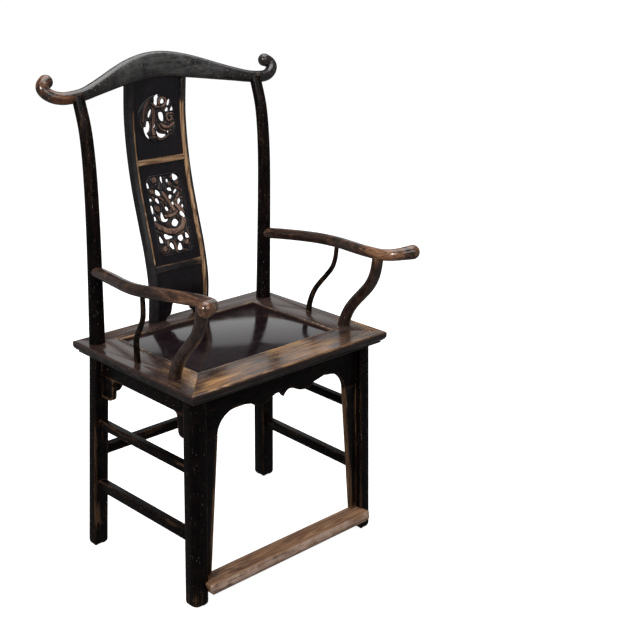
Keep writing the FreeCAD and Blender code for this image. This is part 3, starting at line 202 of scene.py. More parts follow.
def agedMaterial(finish, axis):
    look = {**usual, **finishes[finish]}
    material = bpy.data.materials.new(finish + axis.upper())
    material.use_nodes = True
    tree = material.node_tree
    tree.nodes.clear()
    paint = Paint(tree)
    place = paint.make("ShaderNodeTexCoord", output="Object")
    axes = paint.make("ShaderNodeSeparateXYZ", {}, {0: place}).socket.node.outputs
    ways = {way: Paint(tree, axes[index]) for index, way in enumerate("xyz")}
    ways["side"] = abs(ways["x"])

    def noiseOf(name):
        cells, share, detail, roughness, distortion = noises[name]
        stretch = tuple(cells + share * size for size in grainAxes[axis])
        return paint.noise(place, stretch, detail, roughness, distortion)

    def shelter(reach, inside):
        settings = {"samples": aging["shadeSamples"], "inside": inside, "only_local": True}
        return 1 - paint.make("ShaderNodeAmbientOcclusion", settings, {"Distance": reach}, "AO")

    grain, figure, patch, mottle, speck = (noiseOf(name) for name in noises)

    # how much wood shows
    amount = (shelter(look["edgeReach"], True) * (aging["edgeGain"] * look["edge"])
              + (patch - 0.5) * (aging["patchGain"] * look["patch"])
              + (grain - 0.5) * (aging["streakGain"] * look["streak"]) + look["bias"])
    for way, start, end, change in look["zones"]:
        amount = amount + ways[way].over(start, end) * change
    if "carving" in look:  # wood shows on the high parts of the relief
        relief = paint.make("ShaderNodeAttribute", {"attribute_name": "relief"}, output="Fac")
        amount = amount + relief.over(*aging["carvedRange"]) * look["carving"]
    wear = amount.over(0.0, look["fade"])

    # colours of lacquer and wood
    cloud = mottle.over(*aging["mottleRange"]) * 0.5 + grain.over(*aging["grainRange"]) * 0.5
    lacquer = paint.blend(cloud, look["dark"], look["tint"])
    lines = paint.maths("SINE", figure * aging["contours"]) * 0.5 + 0.5  # contours, as sawn grain shows them
    grainMix = (grain * aging["grainInWood"] + figure * (aging["figureInWood"] - look["lined"])
                + lines * look["lined"])
    wood = paint.blend(grainMix.over(*aging["woodRange"]), look["wood"], look["woodLight"])
    film = 0.0
    if "film" in look:  # a film of another colour: grey dust with painted sheen on the crest's middle, a pale front on the footrest that is rubbed wood with painted light, and near-black below the seat frame's top
        filmAndLightColour, way, start, end = look["film"]
        reach = ways[way].over(start, end) * (1 - aging["filmAndLightLeast"]) + aging["filmAndLightLeast"]
        film = reach * (mottle * 0.5 + grain * 0.5).over(*aging["filmAndLightRange"])
        lacquer = paint.blend(film, lacquer, filmAndLightColour)
        wood = paint.blend(film * look["filmAndLightOnWood"], wood, filmAndLightColour)
    colour = paint.blend(wear, lacquer, wood)
    # painted shade with some dirt: colour darkens towards the lacquer's dark where ambient occlusion finds
    # creases and hollows
    creaseDirtAndShade = shelter(aging["dirtAndShadeReach"], False).over(*aging["dirtAndShadeRange"]) * aging["dirtAndShadeDark"]
    colour = paint.blend(creaseDirtAndShade, colour, look["dark"])
    specks = speck.over(look["rare"], look["rare"] + aging["speckRange"]) * look["specks"]
    colour = paint.blend(specks * aging["speckShown"], colour, aging["speckColour"])

    # surface
    roughness = (look["gloss"] + wear * (look["woodGloss"] - look["gloss"])
                 + (mottle - 0.5) * aging["mottleRough"] + specks * aging["speckRough"]
                 + film * aging["filmAndLightRough"])
    height = (grain * (aging["grainHigh"] + wear * aging["grainHighWorn"]) + mottle * aging["mottleHigh"]
              - wear * aging["wearDeep"] + specks)
    bump = paint.make("ShaderNodeBump", {}, {
        "Strength": aging["bumpStrength"], "Distance": aging["bumpDistance"], "Height": height})
    shader = paint.make("ShaderNodeBsdfPrincipled", {}, {
        "Base Color": colour, "Roughness": roughness, "Normal": bump, "Specular IOR Level": look["shine"],
        "Coat Weight": look["coat"], "Coat Roughness": aging["coatRough"]})
    paint.make("ShaderNodeOutputMaterial", {}, {"Surface": shader})
    return material


materials = {}


def materialFor(finish, axis):
    if (finish, axis) not in materials:
        materials[finish, axis] = agedMaterial(finish, axis)
    return materials[finish, axis]


# Making pieces

def finishPiece(name, bm, finish, axis, replaced=(), sharp=38):
    mesh = bpy.data.meshes.new(name)
    bm.to_mesh(mesh)
    bm.free()
    mesh.shade_smooth()
    mesh.set_sharp_from_angle(angle=math.radians(sharp))
    mesh.materials.append(materialFor(finish, axis))
    piece = bpy.data.objects.new(name, mesh)
    bpy.context.scene.collection.objects.link(piece)
    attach(piece, "root")
    if replaced:
        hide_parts(*replaced)


def finishPair(name, bm, finish, axis, node=None, sharp=38):
    mirror = bm.copy()
    bmesh.ops.scale(mirror, vec=(-1, 1, 1), verts=mirror.verts)
    bmesh.ops.reverse_faces(mirror, faces=mirror.faces)
    for side, body in (("Right", bm), ("Left", mirror)):
        finishPiece(name + side, body, finish, axis, [node + "_" + side.lower()] if node else (), sharp)


def bevelEdges(bm, edges, width, segments, clamp=False):
    bmesh.ops.bevel(bm, geom=edges, offset=width, offset_type="OFFSET", segments=segments, profile=0.5,
                    affect="EDGES", clamp_overlap=clamp, material=-1)


def smoothRows(rows, steps):  # points between the stations, on a curve through all of them
    rows = [np.array(row, float) for row in rows]
    rows = [2 * rows[0] - rows[1]] + rows + [2 * rows[-1] - rows[-2]]
    result = []
    for before, start, end, after in zip(rows, rows[1:], rows[2:], rows[3:]):
        for step in range(steps):
            t = step / steps
            bend = 2 * before - 5 * start + 4 * end - after
            twist = 3 * start - before - 3 * end + after
            result.append(0.5 * (2 * start + (end - before) * t + bend * t * t + twist * t ** 3))
    result.append(rows[-2])
    return result


def ringAt(bm, centre, along, reference, halfAcross, halfOther, squareness, sides):
    side = (reference - along * reference.dot(along)).normalized()
    other = along.cross(side)
    ring = bmesh.ops.create_circle(bm, cap_ends=False, segments=sides, radius=1)["verts"]
    for vert in ring:
        for axis in (0, 1):
            vert.co[axis] = math.copysign(abs(vert.co[axis]) ** (2 / squareness), vert.co[axis])
    turned = Matrix((side * halfAcross, other * halfOther, along)).transposed().to_4x4()
    bmesh.ops.transform(bm, matrix=Matrix.Translation(centre) @ turned, verts=ring)
    return ring


def ringEdges(ring):
    members = set(ring)
    touching = {edge for vert in ring for edge in vert.link_edges}
    return [edge for edge in touching if set(edge.verts) <= members]


# Rods. A row has shares of the rod's reach across, back and up from its start, then its half width in mm,
# or half thickness, half height and squareness.

def stationsOf(rod):
    stations = []
    for *shares, section in rod["rows"]:
        place = [start + reach * share for start, reach, share in zip(rod["start"], rod["reach"], shares)]
        halfAcross, halfOther, squareness = section if isinstance(section, tuple) else (section, section, 2)
        stations.append((*place, halfAcross * mm, halfOther * mm, squareness))
    return stations


def makeRod(rod, stations, reference, ballStart=False, ballEnd=False):
    bm = bmesh.new()
    stations = smoothRows(stations, rod["steps"])
    centres = [Vector(row[:3]) for row in stations]
    rings = []
    for index, row in enumerate(stations):
        before = centres[max(index - 1, 0)]
        after = centres[min(index + 1, len(centres) - 1)]
        rings.append((centres[index], (after - before).normalized(), row[3], row[4], row[5]))
    for wanted, end, sign in ((ballStart, 0, -1), (ballEnd, -1, 1)):
        if not wanted:
            continue
        centre, along, halfAcross, halfOther, squareness = rings[end]
        cap = []
        for angle in range(10, 90, 10):
            shrink = math.cos(math.radians(angle))
            rise = sign * halfAcross * math.sin(math.radians(angle))
            cap.append((centre + along * rise, along, halfAcross * shrink, halfOther * shrink, squareness))
        rings = rings + cap if sign > 0 else cap[::-1] + rings
    previous = None
    for ring in rings:
        centre, along, halfAcross, halfOther, squareness = ring
        loop = ringAt(bm, centre, along, reference, halfAcross, halfOther, squareness, rod["sides"])
        if previous:
            bmesh.ops.bridge_loops(bm, edges=ringEdges(previous) + ringEdges(loop))
        else:
            first = loop
        previous = loop
    for loop in (first, previous):
        bmesh.ops.contextual_create(bm, geom=ringEdges(loop))
    bmesh.ops.recalc_face_normals(bm, faces=bm.faces)
    return bm


crest = {  # from the middle out to the curled end
    "sides": 40, "steps": 5, "start": (0, rearLegY + 29 * mm, seatTop + 602 * mm),
    "reach": (323 * mm, 57 * mm, -47 * mm),
    "rows": [
        (0.000, 1.000, 0.000, (15.2, 29.8, 2.5)), (0.110, 0.975, 0.050, (15.2, 29.5, 2.5)),
        (0.240, 0.850, 0.190, (15.1, 27.8, 2.45)), (0.370, 0.660, 0.380, (14.9, 24.2, 2.35)),
        (0.500, 0.430, 0.590, (14.6, 19.9, 2.2)), (0.620, 0.200, 0.770, (14.2, 16.4, 2.1)),
        (0.710, 0.050, 0.900, (14.1, 14.6, 2)), (0.790, 0.000, 0.970, 14), (0.870, 0.020, 1.000, 14),
        (0.930, 0.090, 0.930, 14), (0.975, 0.190, 0.770, 13.9), (0.999, 0.290, 0.560, 13.8),
        (0.989, 0.390, 0.370, 14.4), (0.956, 0.480, 0.250, 15.8)]}
crestHalf = stationsOf(crest)
bothHalves = [(-row[0], *row[1:]) for row in reversed(crestHalf[1:])] + crestHalf
finishPiece("crestRail", makeRod(crest, bothHalves, backward, True, True), "crestLacquer", "x",
            ["crest_rail"])

rearPost = {  # the leg piece stands for the whole node
    "sides": 32, "steps": 4, "start": (legTopX, rearLegY, seatTop), "reach": (1.7 * mm, 22 * mm, 545 * mm),
    "rows": [
        (0, 0, -0.073, 18), (0, 0, -0.03, 18), (0, 0, 0.02, 17.9), (0, -0.10, 0.15, 17.2),
        (0, -0.22, 0.32, 16.4), (0.1, -0.32, 0.50, 15.7), (0.4, -0.33, 0.66, 15.2), (0.6, -0.18, 0.79, 14.7),
        (0.8, 0.18, 0.90, 14.3), (1, 0.95, 1.00, 13.9), (1, 1.20, 1.021, 13.8)]}
finishPair("rearPost", makeRod(rearPost, stationsOf(rearPost), rightward), "legLacquer", "z")

arm = {
    "sides": 32, "steps": 5, "start": (legTopX, rearLegY - 4.7 * mm, seatTop + 169 * mm),
    "reach": (47 * mm, -459 * mm, 35 * mm),
    "rows": [
        (0.032, 0.022, 0.015, 13.4), (0.17, 0.09, 0.11, 13.4), (0.355, 0.18, 0.21, 13.4),
        (0.54, 0.27, 0.29, 13.4), (0.70, 0.36, 0.345, 13.4), (0.745, 0.45, 0.39, 13.4),
        (0.64, 0.54, 0.46, 13.4), (0.45, 0.63, 0.53, 13.4), (0.26, 0.72, 0.60, 13.4),
        (0.13, 0.80, 0.67, 13.4), (0.08, 0.87, 0.73, 13.4), (0.17, 0.925, 0.81, 13.6),
        (0.46, 0.967, 0.91, 14.5), (0.996, 0.9995, 1.00, 16.8)]}
finishPair("arm", makeRod(arm, stationsOf(arm), up, False, True), "armLacquer", "y", "arm")

gooseneck = {
    "sides": 32, "steps": 4, "start": (legTopX, setBack - 115.5 * mm, seatTop),
    "reach": (4.1 * mm, -107.5 * mm, 194.2 * mm),
    "rows": [
        (0, 0, -0.01, 14.2), (0.015, 0.01, 0.015, 14.2), (0.12, 0.08, 0.12, 13.8),
        (0.23, 0.19, 0.23, 13.5), (0.34, 0.35, 0.34, 13.2), (0.45, 0.54, 0.45, 13.2),
        (0.56, 0.72, 0.56, 13.2), (0.67, 0.85, 0.67, 13.2), (0.79, 0.93, 0.79, 13.2),
        (0.90, 0.965, 0.90, 13.2), (0.97, 0.985, 0.97, 13.2)]}
finishPair("armFrontPost", makeRod(gooseneck, stationsOf(gooseneck), rightward), "armLacquer", "z",
           "arm_front_post")

slenderPost = {
    "sides": 24, "steps": 4, "start": (seatWidth / 2 - 31 * mm, setBack + 11.6 * mm, seatTop),
    "reach": (27.4 * mm, -68 * mm, 184 * mm),
    "rows": [
        (0, 0, -0.011, 7), (0.022, 0.006, 0.033, 7), (0.08, 0.03, 0.12, 6.8), (0.22, 0.10, 0.23, 6.6),
        (0.37, 0.22, 0.33, 6.4), (0.52, 0.44, 0.44, 6.2), (0.68, 0.68, 0.55, 6), (0.83, 0.88, 0.66, 5.8),
        (0.94, 0.97, 0.78, 5.6), (1, 1, 0.90, 5.4), (1, 1, 0.951, 5.2)]}
finishPair("armSidePost", makeRod(slenderPost, stationsOf(slenderPost), rightward), "legLacquer", "z",
           "arm_side_post")
print("rods made")


# Legs: a cube stretched between the floor and the frame, its outer corner fully rounded

leg = {
    "size": 37 * mm, "outerRound": 17 * mm, "cornerRound": 4 * mm, "footRound": 10.5 * mm,
    "outerShare": 0.99, "flat": 1e-6,
    "front": {"head": (legTopX - 4.2 * mm, frontLegY), "splay": (9.1 * mm, -1 * mm)},
    "rear": {"head": (legTopX, rearLegY), "splay": (14.5 * mm, 21.5 * mm)}}


def makeLeg(which):
    headX, headY = leg[which]["head"]
    splayX, splayY = leg[which]["splay"]
    away = 1 if which == "rear" else -1
    half = leg["size"] / 2
    bm = bmesh.new()
    bmesh.ops.create_cube(bm, size=1)
    for vert in bm.verts:
        foot = vert.co.z < 0
        vert.co = (headX + splayX * foot + math.copysign(half, vert.co.x),
                   headY + splayY * foot + math.copysign(half, vert.co.y), 0 if foot else frameUnderside)

    def isOuter(vert):
        foot = vert.co.z < leg["size"]
        outX = vert.co.x - headX - splayX * foot
        outY = (vert.co.y - headY - splayY * foot) * away
        return min(outX, outY) > half * leg["outerShare"]

    def uprights(outer):
        return [edge for edge in bm.edges if edge.calc_length() > frameUnderside / 2
                and all(isOuter(vert) for vert in edge.verts) == outer]

    bevelEdges(bm, uprights(False), leg["cornerRound"], 3)
    bevelEdges(bm, uprights(True), leg["outerRound"], 10)
    soles = [edge for edge in bm.edges if all(vert.co.z < leg["flat"] for vert in edge.verts)]
    bevelEdges(bm, soles, leg["footRound"], 6)
    bmesh.ops.recalc_face_normals(bm, faces=bm.faces)
    return bm


finishPair("frontLeg", makeLeg("front"), "legLacquer", "z", "front_leg")
finishPair("rearLeg", makeLeg("rear"), "legLacquer", "z", "rear_leg_post")
print("legs made")


# Joinery pieces keep the solids' shape, with their arrises eased

footrestWear = {
    "half": 234.7 * mm, "lapShare": 0.3, "sliceWidth": 16 * mm, "slices": 14, "noseDepth": 1 * mm,
    "noseLow": 39.5 * mm, "noseRise": 14 * mm, "dentDepth": 2.5 * mm, "dentsPerMetre": 28, "dentRow": 0.5,
    "dent": 4 * mm, "dentLeast": -0.3, "setIn": 1.4 * mm, "lift": 1.6 * mm, "liftAbove": 50 * mm}
archWear = {"half": 42.5 * mm, "top": seatTop + 74.5 * mm, "fallShare": 0.89}


def wearFootrest(bm):
    wear = footrestWear
    for vert in bm.verts:  # its points cover less of the legs
        past = abs(vert.co.x) - wear["half"]
        if past > 0:
            vert.co.x = math.copysign(wear["half"] + past * wear["lapShare"], vert.co.x)
    for step in range(-wear["slices"], wear["slices"] + 1):
        bmesh.ops.bisect_plane(bm, geom=bm.verts[:] + bm.edges[:] + bm.faces[:],
                               plane_co=(step * wear["sliceWidth"], 0, 0), plane_no=rightward)
    nose = min(vert.co.y for vert in bm.verts)
    for vert in bm.verts:  # the front face stands upright further down
        if vert.co.y < nose + wear["noseDepth"] and 0 < vert.co.z - wear["noseLow"] < wear["noseRise"]:
            vert.co.z = wear["noseLow"]
    for vert in bm.verts:  # the front edge is dented
        if vert.co.y < nose + wear["dentDepth"] and abs(vert.co.x) < wear["half"]:
            dent = noise.noise(Vector((vert.co.x * wear["dentsPerMetre"], wear["dentRow"], 0)))
            vert.co.y += max(dent, wear["dentLeast"]) * wear["dent"] + wear["setIn"]
            vert.co.z += dent * wear["lift"] if vert.co.z > wear["liftAbove"] else 0


def lowerArch(bm):
    for vert in bm.verts:
        if abs(vert.co.x) < archWear["half"] and seatTop < vert.co.z < archWear["top"]:
            vert.co.z = seatTop + (vert.co.z - seatTop) * archWear["fallShare"]


refits = {"footrest": wearFootrest, "splat_panel_bottom": lowerArch}
eased = [  # node, where * is left and right, then finish, grain and width of the eased arris in mm
    ("seat_rail_front", "frameLacquer", "x", 0.8), ("seat_rail_rear", "frameLacquer", "x", 0.8),
    ("seat_rail_*", "frameLacquer", "y", 0.8), ("seat_panel", "panelLacquer", "x", 0.6),
    ("seat_batten_*", "underWood", "y", 1), ("side_stretcher_upper_*", "legLacquer", "y", 0.8),
    ("side_stretcher_lower_*", "legLacquer", "y", 0.8), ("rear_stretcher", "legLacquer", "x", 0.8),
    ("footrest", "footrestWood", "x", 2.5), ("front_apron", "legLacquer", "x", 1),
    ("front_apron_strip_*", "stripLacquer", "z", 1), ("side_apron_*", "legLacquer", "y", 1),
    ("side_spandrel_front_*", "legLacquer", "y", 1), ("side_spandrel_rear_*", "legLacquer", "y", 1),
    ("rear_apron", "legLacquer", "x", 1), ("rear_spandrel_*", "legLacquer", "x", 1),
    ("splat_panel_bottom", "carvedLacquer", "z", 0.8), ("splat_rail_upper", "wornRidge", "x", 1.5),
    ("splat_rail_lower", "wornRidge", "x", 1.5)]
merging = {"distance": 1e-6, "flatAngle": 0.5, "sharpAngle": 32}


def easedCopy(node, width):
    bm = bmesh.new()
    bm.from_mesh(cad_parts[node].data)
    bmesh.ops.remove_doubles(bm, verts=bm.verts, dist=merging["distance"])
    bmesh.ops.dissolve_limit(bm, angle_limit=math.radians(merging["flatAngle"]), verts=bm.verts,
                             edges=bm.edges, use_dissolve_boundaries=False, delimit=set())
    if node in refits:
        refits[node](bm)
    sharp = math.radians(merging["sharpAngle"])
    edges = [edge for edge in bm.edges if len(edge.link_faces) == 2 and edge.calc_face_angle(0) > sharp]
    bevelEdges(bm, edges, width, 2, True)
    return bm


def camel(name):
    words = name.split("_")
    return words[0] + "".join(word.capitalize() for word in words[1:])


for pattern, finish, axis, width in eased:
    for node in sorted({pattern.replace("*", side) for side in ("left", "right")}):
        finishPiece(camel(node), easedCopy(node, width * mm), finish, axis, [node])
print("joinery eased")

seatBead = {
    "half": (seatWidth / 2 - sideRail + 4.2 * mm, (seatDepth - frontRail - rearRail) / 2 + 4.2 * mm),
    "middleY": (frontRail - rearRail) / 2 + setBack, "halfWidth": 2.2 * mm, "height": 1.5 * mm,
    "sink": 0.6 * mm, "steps": 6}


def makeSeatBead():  # a half-round bead on the frame, mitred round the panel
    bm = bmesh.new()
    previous = None
    for step in range(seatBead["steps"] + 1):
        turn = math.pi * step / seatBead["steps"]
        out = seatBead["halfWidth"] * math.cos(turn)
        loop = bmesh.ops.create_circle(bm, cap_ends=False, segments=4, radius=1)["verts"]
        for vert in loop:
            across, along = vert.co.x - vert.co.y, vert.co.x + vert.co.y
            vert.co = (math.copysign(seatBead["half"][0] + out, across),
                       seatBead["middleY"] + math.copysign(seatBead["half"][1] + out, along),
                       seatTop - seatBead["sink"] + seatBead["height"] * math.sin(turn))
        if previous:
            bmesh.ops.bridge_loops(bm, edges=ringEdges(previous) + ringEdges(loop))
        else:
            first = loop
        previous = loop
    bmesh.ops.bridge_loops(bm, edges=ringEdges(previous) + ringEdges(first))
    bmesh.ops.recalc_face_normals(bm, faces=bm.faces)
    return bm


finishPiece("seatBead", makeSeatBead(), "beadLacquer", "x", sharp=50)


# Splat: stiles with a ridge, and carved panels

splat = {
    "foot": seatDepth / 2 - rearRail + 31.7 * mm + setBack, "rise": 568 * mm, "lean": 69 * mm, "steps": 12,
    "curveShares": [(0, 0), (0.14, -0.07), (0.28, 0.10), (0.42, 0.41), (0.56, 0.71), (0.70, 0.91), (0.85, 1),
                    (1, 0.93), (1.06, 0.87)],  # of the rise and the lean
    "recess": 7 * mm, "thickness": 7 * mm, "carvedThickness": 3 * mm, "halfWidth": 71.3 * mm}
stile = {  # ridge: across and behind the face, in mm
    "low": seatTop - 0.5 * mm, "high": seatTop + 578.5 * mm, "levels": 60,
    "ridge": [(67.5, 22), (67.5, 3.4), (68.2, 2), (69.7, 0.8), (72, 0), (74, 0.2), (76.5, 1.4), (80, 3),
              (82.1, 4), (83.1, 5), (83.5, 6.4), (83.5, 22)]}
curveRows = np.array(smoothRows([(seatTop + splat["rise"] * rise, splat["foot"] + splat["lean"] * lean)
                                 for rise, lean in splat["curveShares"]], splat["steps"]))


def faceAt(height):
    return np.interp(height, curveRows[:, 0], curveRows[:, 1])


def makeStile():
    low = stile["low"]
    bm = bmesh.new()
    verts = [bm.verts.new((x * mm, y * mm + faceAt(low), low)) for x, y in stile["ridge"]]
    edges = [bm.edges.new(pair) for pair in zip(verts, verts[1:] + verts[:1])]
    bmesh.ops.contextual_create(bm, geom=edges)
    levels = np.linspace(low, stile["high"], stile["levels"])
    for below, level in zip(levels, levels[1:]):
        grown = bmesh.ops.extrude_edge_only(bm, edges=edges)["geom"]
        moved = [item for item in grown if isinstance(item, bmesh.types.BMVert)]
        edges = [item for item in grown if isinstance(item, bmesh.types.BMEdge)]
        bmesh.ops.translate(bm, vec=(0, faceAt(level) - faceAt(below), level - below), verts=moved)
    bmesh.ops.contextual_create(bm, geom=edges)
    bmesh.ops.recalc_face_normals(bm, faces=bm.faces)
    return bm


finishPair("splatStile", makeStile(), "wornRidge", "z", "splat_stile", 50)

# Carvings: openings are outlines and bodies are (path, half width, height, scaled), in mm from the middle

medallion = {
    "low": seatTop + 378.4 * mm, "high": seatTop + 578.5 * mm, "middle": seatTop + 474 * mm, "radius": 55,
    "cell": 0.85, "bosses": {"middle": -70, "halfHeight": 8, "halfWidth": 40},
    "openings": [
        [(-7, 53), (0, 56), (8, 56), (2, 48), (1, 40), (2, 32), (-2, 32), (-7, 35), (-6, 43)],
        [(17, 46), (22, 38), (18, 34), (11, 35), (13, 42)],
        [(34, 44), (42, 38), (36, 33), (33, 27), (30, 30), (32, 35)],
        [(46, 26), (51, 16), (39, 14), (41, 20)], [(32, 24), (33, 14), (24, 15), (26, 19)],
        [(5, 14), (18, 12), (19, -7), (14, -8), (8, -2), (6, 5)],
        [(-17, 23), (-15, 21), (-18, 13), (-22, 5), (-25, 5), (-23, 16)],
        [(-30, -3), (-22, -7), (-23, -26), (-33, -32), (-28, -38), (-25, -46), (-34, -38), (-38, -24),
         (-38, -16), (-32, -20)],
        [(-4, -28), (0, -35), (10, -39), (24, -41), (17, -45), (10, -47), (0, -42), (-2, -35)],
        [(29, -32), (32, -34), (30, -37), (27, -35)], [(-7, -12), (-6, -17), (-12, -24), (-10, -17)]],
    "bodies": [
        ([(-12, 32), (-10, 12), (-11, -10), (-14, -28), (-12, -38)], 6.5, 1.9, False),
        ([(-22, 46), (-32, 34), (-38, 18), (-40, -2)], 5.5, 1.5, False),
        ([(-20, 42), (-26, 28), (-31, 10)], 3.5, 1.3, False),
        ([(8, 30), (4, 40), (14, 51), (26, 44), (27, 33), (16, 27), (8, 26)], 4, 1.8, True),
        ([(-14, 36), (-4, 28), (6, 27)], 4.5, 1.8, True),
        ([(10, -14), (20, -22), (34, -24), (47, -16)], 5, 1.9, True),
        ([(44, 8), (30, 10), (26, 0), (32, -9), (42, -7), (43, 2), (36, 2)], 4, 1.8, True),
        ([(-20, -44), (-8, -42), (0, -49), (16, -50), (32, -43)], 3.5, 1.5, False),
        ([(2, -14), (10, -28), (24, -33), (38, -32)], 3.5, 1.6, True),
        ([(-20, -6), (-20, -20)], 3.5, 1.5, False), ([(40, 40), (44, 28), (46, 20)], 3, 1.4, False),
        ([(-30, -8), (-28, -14)], 3, 1.3, False)]}

window = {
    "low": seatTop + 132.7 * mm, "high": seatTop + 373.5 * mm, "middle": seatTop + 248.5 * mm,
    "half": (50, 93.5), "chamfer": 11, "cell": 0.9,
    "openings": [
        [(26, 89), (32, 90), (45, 79), (30, 74), (28, 79)], [(-9, 88), (-4, 88), (-4, 74), (-7, 74)],
        [(9, 82), (13, 77), (11, 72), (7, 76)], [(-49, 80), (-46, 79), (-43, 67), (-49, 66)],
        [(-25, 61), (-15, 50), (-17, 45), (-22, 47), (-28, 50), (-28, 57)],
        [(6, 59), (15, 60), (19, 54), (17, 52), (9, 55)],
        [(32, 54), (33, 51), (25, 45), (23, 47), (27, 52)],
        [(11, 43), (17, 42), (12, 34), (8, 36), (8, 41)], [(-49, 42), (-44, 42), (-42, 37), (-47, 36)],
        [(-34, 39), (-26, 41), (-22, 28), (-27, 30)], [(32, 33), (40, 28), (34, 20), (29, 18)],
        [(12, 26), (18, 25), (18, 20), (14, 20)], [(-49, 30), (-43, 22), (-44, 8), (-48, 7)],
        [(-10, 17), (-4, 18), (0, 9), (-5, 8)], [(41, 17), (44, 15), (43, 9), (39, 11)],
        [(31, 2), (40, -1), (44, -14), (39, -12), (30, -5)],
        [(-23, 7), (-20, 5), (-18, -7), (-14, -12), (-6, -10), (-12, -16), (-24, -13), (-26, -6)],
        [(-44, 1), (-41, -1), (-40, -9), (-45, -9)],
        [(13, -13), (22, -21), (16, -29), (9, -30), (1, -24), (6, -16)],
        [(-26, -42), (-11, -50), (-2, -53), (-12, -55), (-23, -55), (-26, -49)],
        [(-40, -45), (-37, -50), (-31, -62), (-41, -61), (-41, -52)],
        [(23, -52), (26, -58), (25, -64), (16, -66), (10, -56), (17, -54)],
        [(36, -47), (46, -62), (34, -61), (35, -54)],
        [(-15, -67), (-10, -65), (-6, -71), (-4, -82), (-10, -79), (-15, -72)],
        [(15, -68), (19, -81), (17, -86), (6, -85), (8, -76)]],
    "bodies": [
        ([(20, 26), (31, 12), (38, -1), (38, -20), (28, -36), (8, -42), (-14, -37), (-32, -27), (-46, -17)],
         8, 2.3, True), ([(-9, 52), (-1, 39), (8, 22), (16, 7)], 5.5, 2.1, True),
        ([(-29, 83), (-27, 84)], 10, 1.9, False), ([(-10, 76), (-17, 62)], 4, 1.5, False),
        ([(14, 71), (15, 70)], 7.5, 2, False), ([(36, 70), (37, 70)], 7.5, 1.9, False),
        ([(22, 84), (24, 86)], 5, 1.5, False), ([(2, 85), (1, 72), (-2, 62)], 3.2, 1.5, False),
        ([(-39, 58), (-38, 58)], 8, 1.9, False), ([(-24, 45), (-14, 38), (-8, 28)], 4.5, 1.7, False),
        ([(38, 46), (30, 38), (22, 28)], 3.2, 1.8, False), ([(44, 34), (34, 30), (26, 24)], 3, 1.6, False),
        ([(28, 60), (40, 56), (45, 48)], 3.5, 1.6, False), ([(-33, 19), (-31, 17)], 10, 2, False),
        ([(-38, 44), (-34, 36)], 4.5, 1.5, False), ([(-14, 20), (-16, 30)], 4, 1.5, False),
        ([(-13, -2), (-2, -4), (14, -2), (22, 4)], 4.5, 1.8, False), ([(-34, 0), (-30, -8)], 5, 1.5, False),
        ([(33, -70), (34, -69)], 9, 1.9, False), ([(-31, -76), (-30, -75)], 9, 1.9, False),
        ([(-4, -62), (0, -74), (1, -86)], 4.5, 1.7, False), ([(22, -86), (30, -88)], 4, 1.4, False),
        ([(-44, -34), (-34, -38)], 4.5, 1.5, False), ([(10, -50), (30, -46)], 4, 1.5, False),
        ([(44, -40), (42, -52)], 4, 1.5, False), ([(-20, -60), (-22, -70)], 4, 1.5, False)]}

relief = {  # heights and widths in mm, turns in radians per mm
    "far": 1e9, "tiny": 1e-9, "rimEase": 0.7, "margin": 2.5, "top": 3, "flatFrom": -3,
    "ground": -1.4, "rimRise": 2.2, "rimWidth": 3.2, "ripple": 0.4, "rippleTurn": 1.7, "rippleFrom": 1.8,
    "bodyFoot": -0.9, "scale": 0.8, "scaleTurn": 0.85, "scaleAcross": 0.7, "scaleSink": 0.4,
    "vein": 0.7, "veinWidth": 0.9, "groove": 1.1, "grooveOut": 0.4, "grooveWidth": 1.1,
    "bead": 1.3, "beadWidth": 1.5, "beadAt": 1.2, "beadGroove": 0.9, "beadGrooveAt": -1.4,
    "boss": 0.7, "bossAcross": 0.42, "bossUp": 0.55, "snapShare": 0.62, "snapStep": 0.05,
    "edgeWidth": 0.2, "edgeTop": -0.6, "holeFrom": -0.02,
    "shownFrom": 2.6, "shownSpan": 3.4, "beadShown": 0.62, "beadShownFrom": 0.35, "thinFrom": 3}


def closedPairs(points, closed=True):
    return list(zip(points, points[1:] + points[:1] if closed else points[1:]))


def polylineDistance(x, z, points, closed):
    # distance to a line through points, and how far along it the nearest place is
    best = np.full(x.shape, relief["far"])
    along = np.zeros(x.shape)
    gone = 0.0
    for (x0, z0), (x1, z1) in closedPairs(points, closed):
        stepX, stepZ = x1 - x0, z1 - z0
        length = math.hypot(stepX, stepZ)
        share = ((x - x0) * stepX + (z - z0) * stepZ) / max(length * length, relief["tiny"])
        share = np.clip(share, 0, 1)
        distance = np.hypot(x - x0 - share * stepX, z - z0 - share * stepZ)
        along = np.where(distance < best, gone + share * length, along)
        best = np.minimum(best, distance)
        gone += length
    return best, along


def insideOutline(x, z, points):
    inside = np.zeros(x.shape, bool)
    for (x0, z0), (x1, z1) in closedPairs(points):
        crosses = (z0 > z) != (z1 > z)
        inside ^= crosses & (x < (x1 - x0) * (z - z0) / (z1 - z0 if z1 != z0 else relief["tiny"]) + x0)
    return inside


def cornersCut(points, times, closed):  # each corner is replaced by two points, which rounds the line
    for _ in range(times):
        cut = []
        for (x0, z0), (x1, z1) in closedPairs(points, closed):
            for share in (0.25, 0.75):
                cut.append((x0 * (1 - share) + x1 * share, z0 * (1 - share) + z1 * share))
        points = cut if closed else [points[0]] + cut + [points[-1]]
    return points


def rounded(distance, width):  # quarter round from an edge up to full height
    share = np.clip(distance / width, 0, 1)
    return np.sqrt(np.clip(1 - (1 - share) ** 2, 0, 1))


def tent(distance, width):  # 1 in the middle, falling straight to 0 at this width
    return np.clip(1 - np.abs(distance) / width, 0, 1)


def holeDistance(x, z, openings):
    best = np.full(x.shape, relief["far"])
    for opening in openings:
        outline = cornersCut(opening, 2, True)
        distance, _ = polylineDistance(x, z, outline, True)
        best = np.minimum(best, np.where(insideOutline(x, z, outline), -distance, distance))
    return best - relief["rimEase"]  # the openings are drawn to the middle of their eased rims


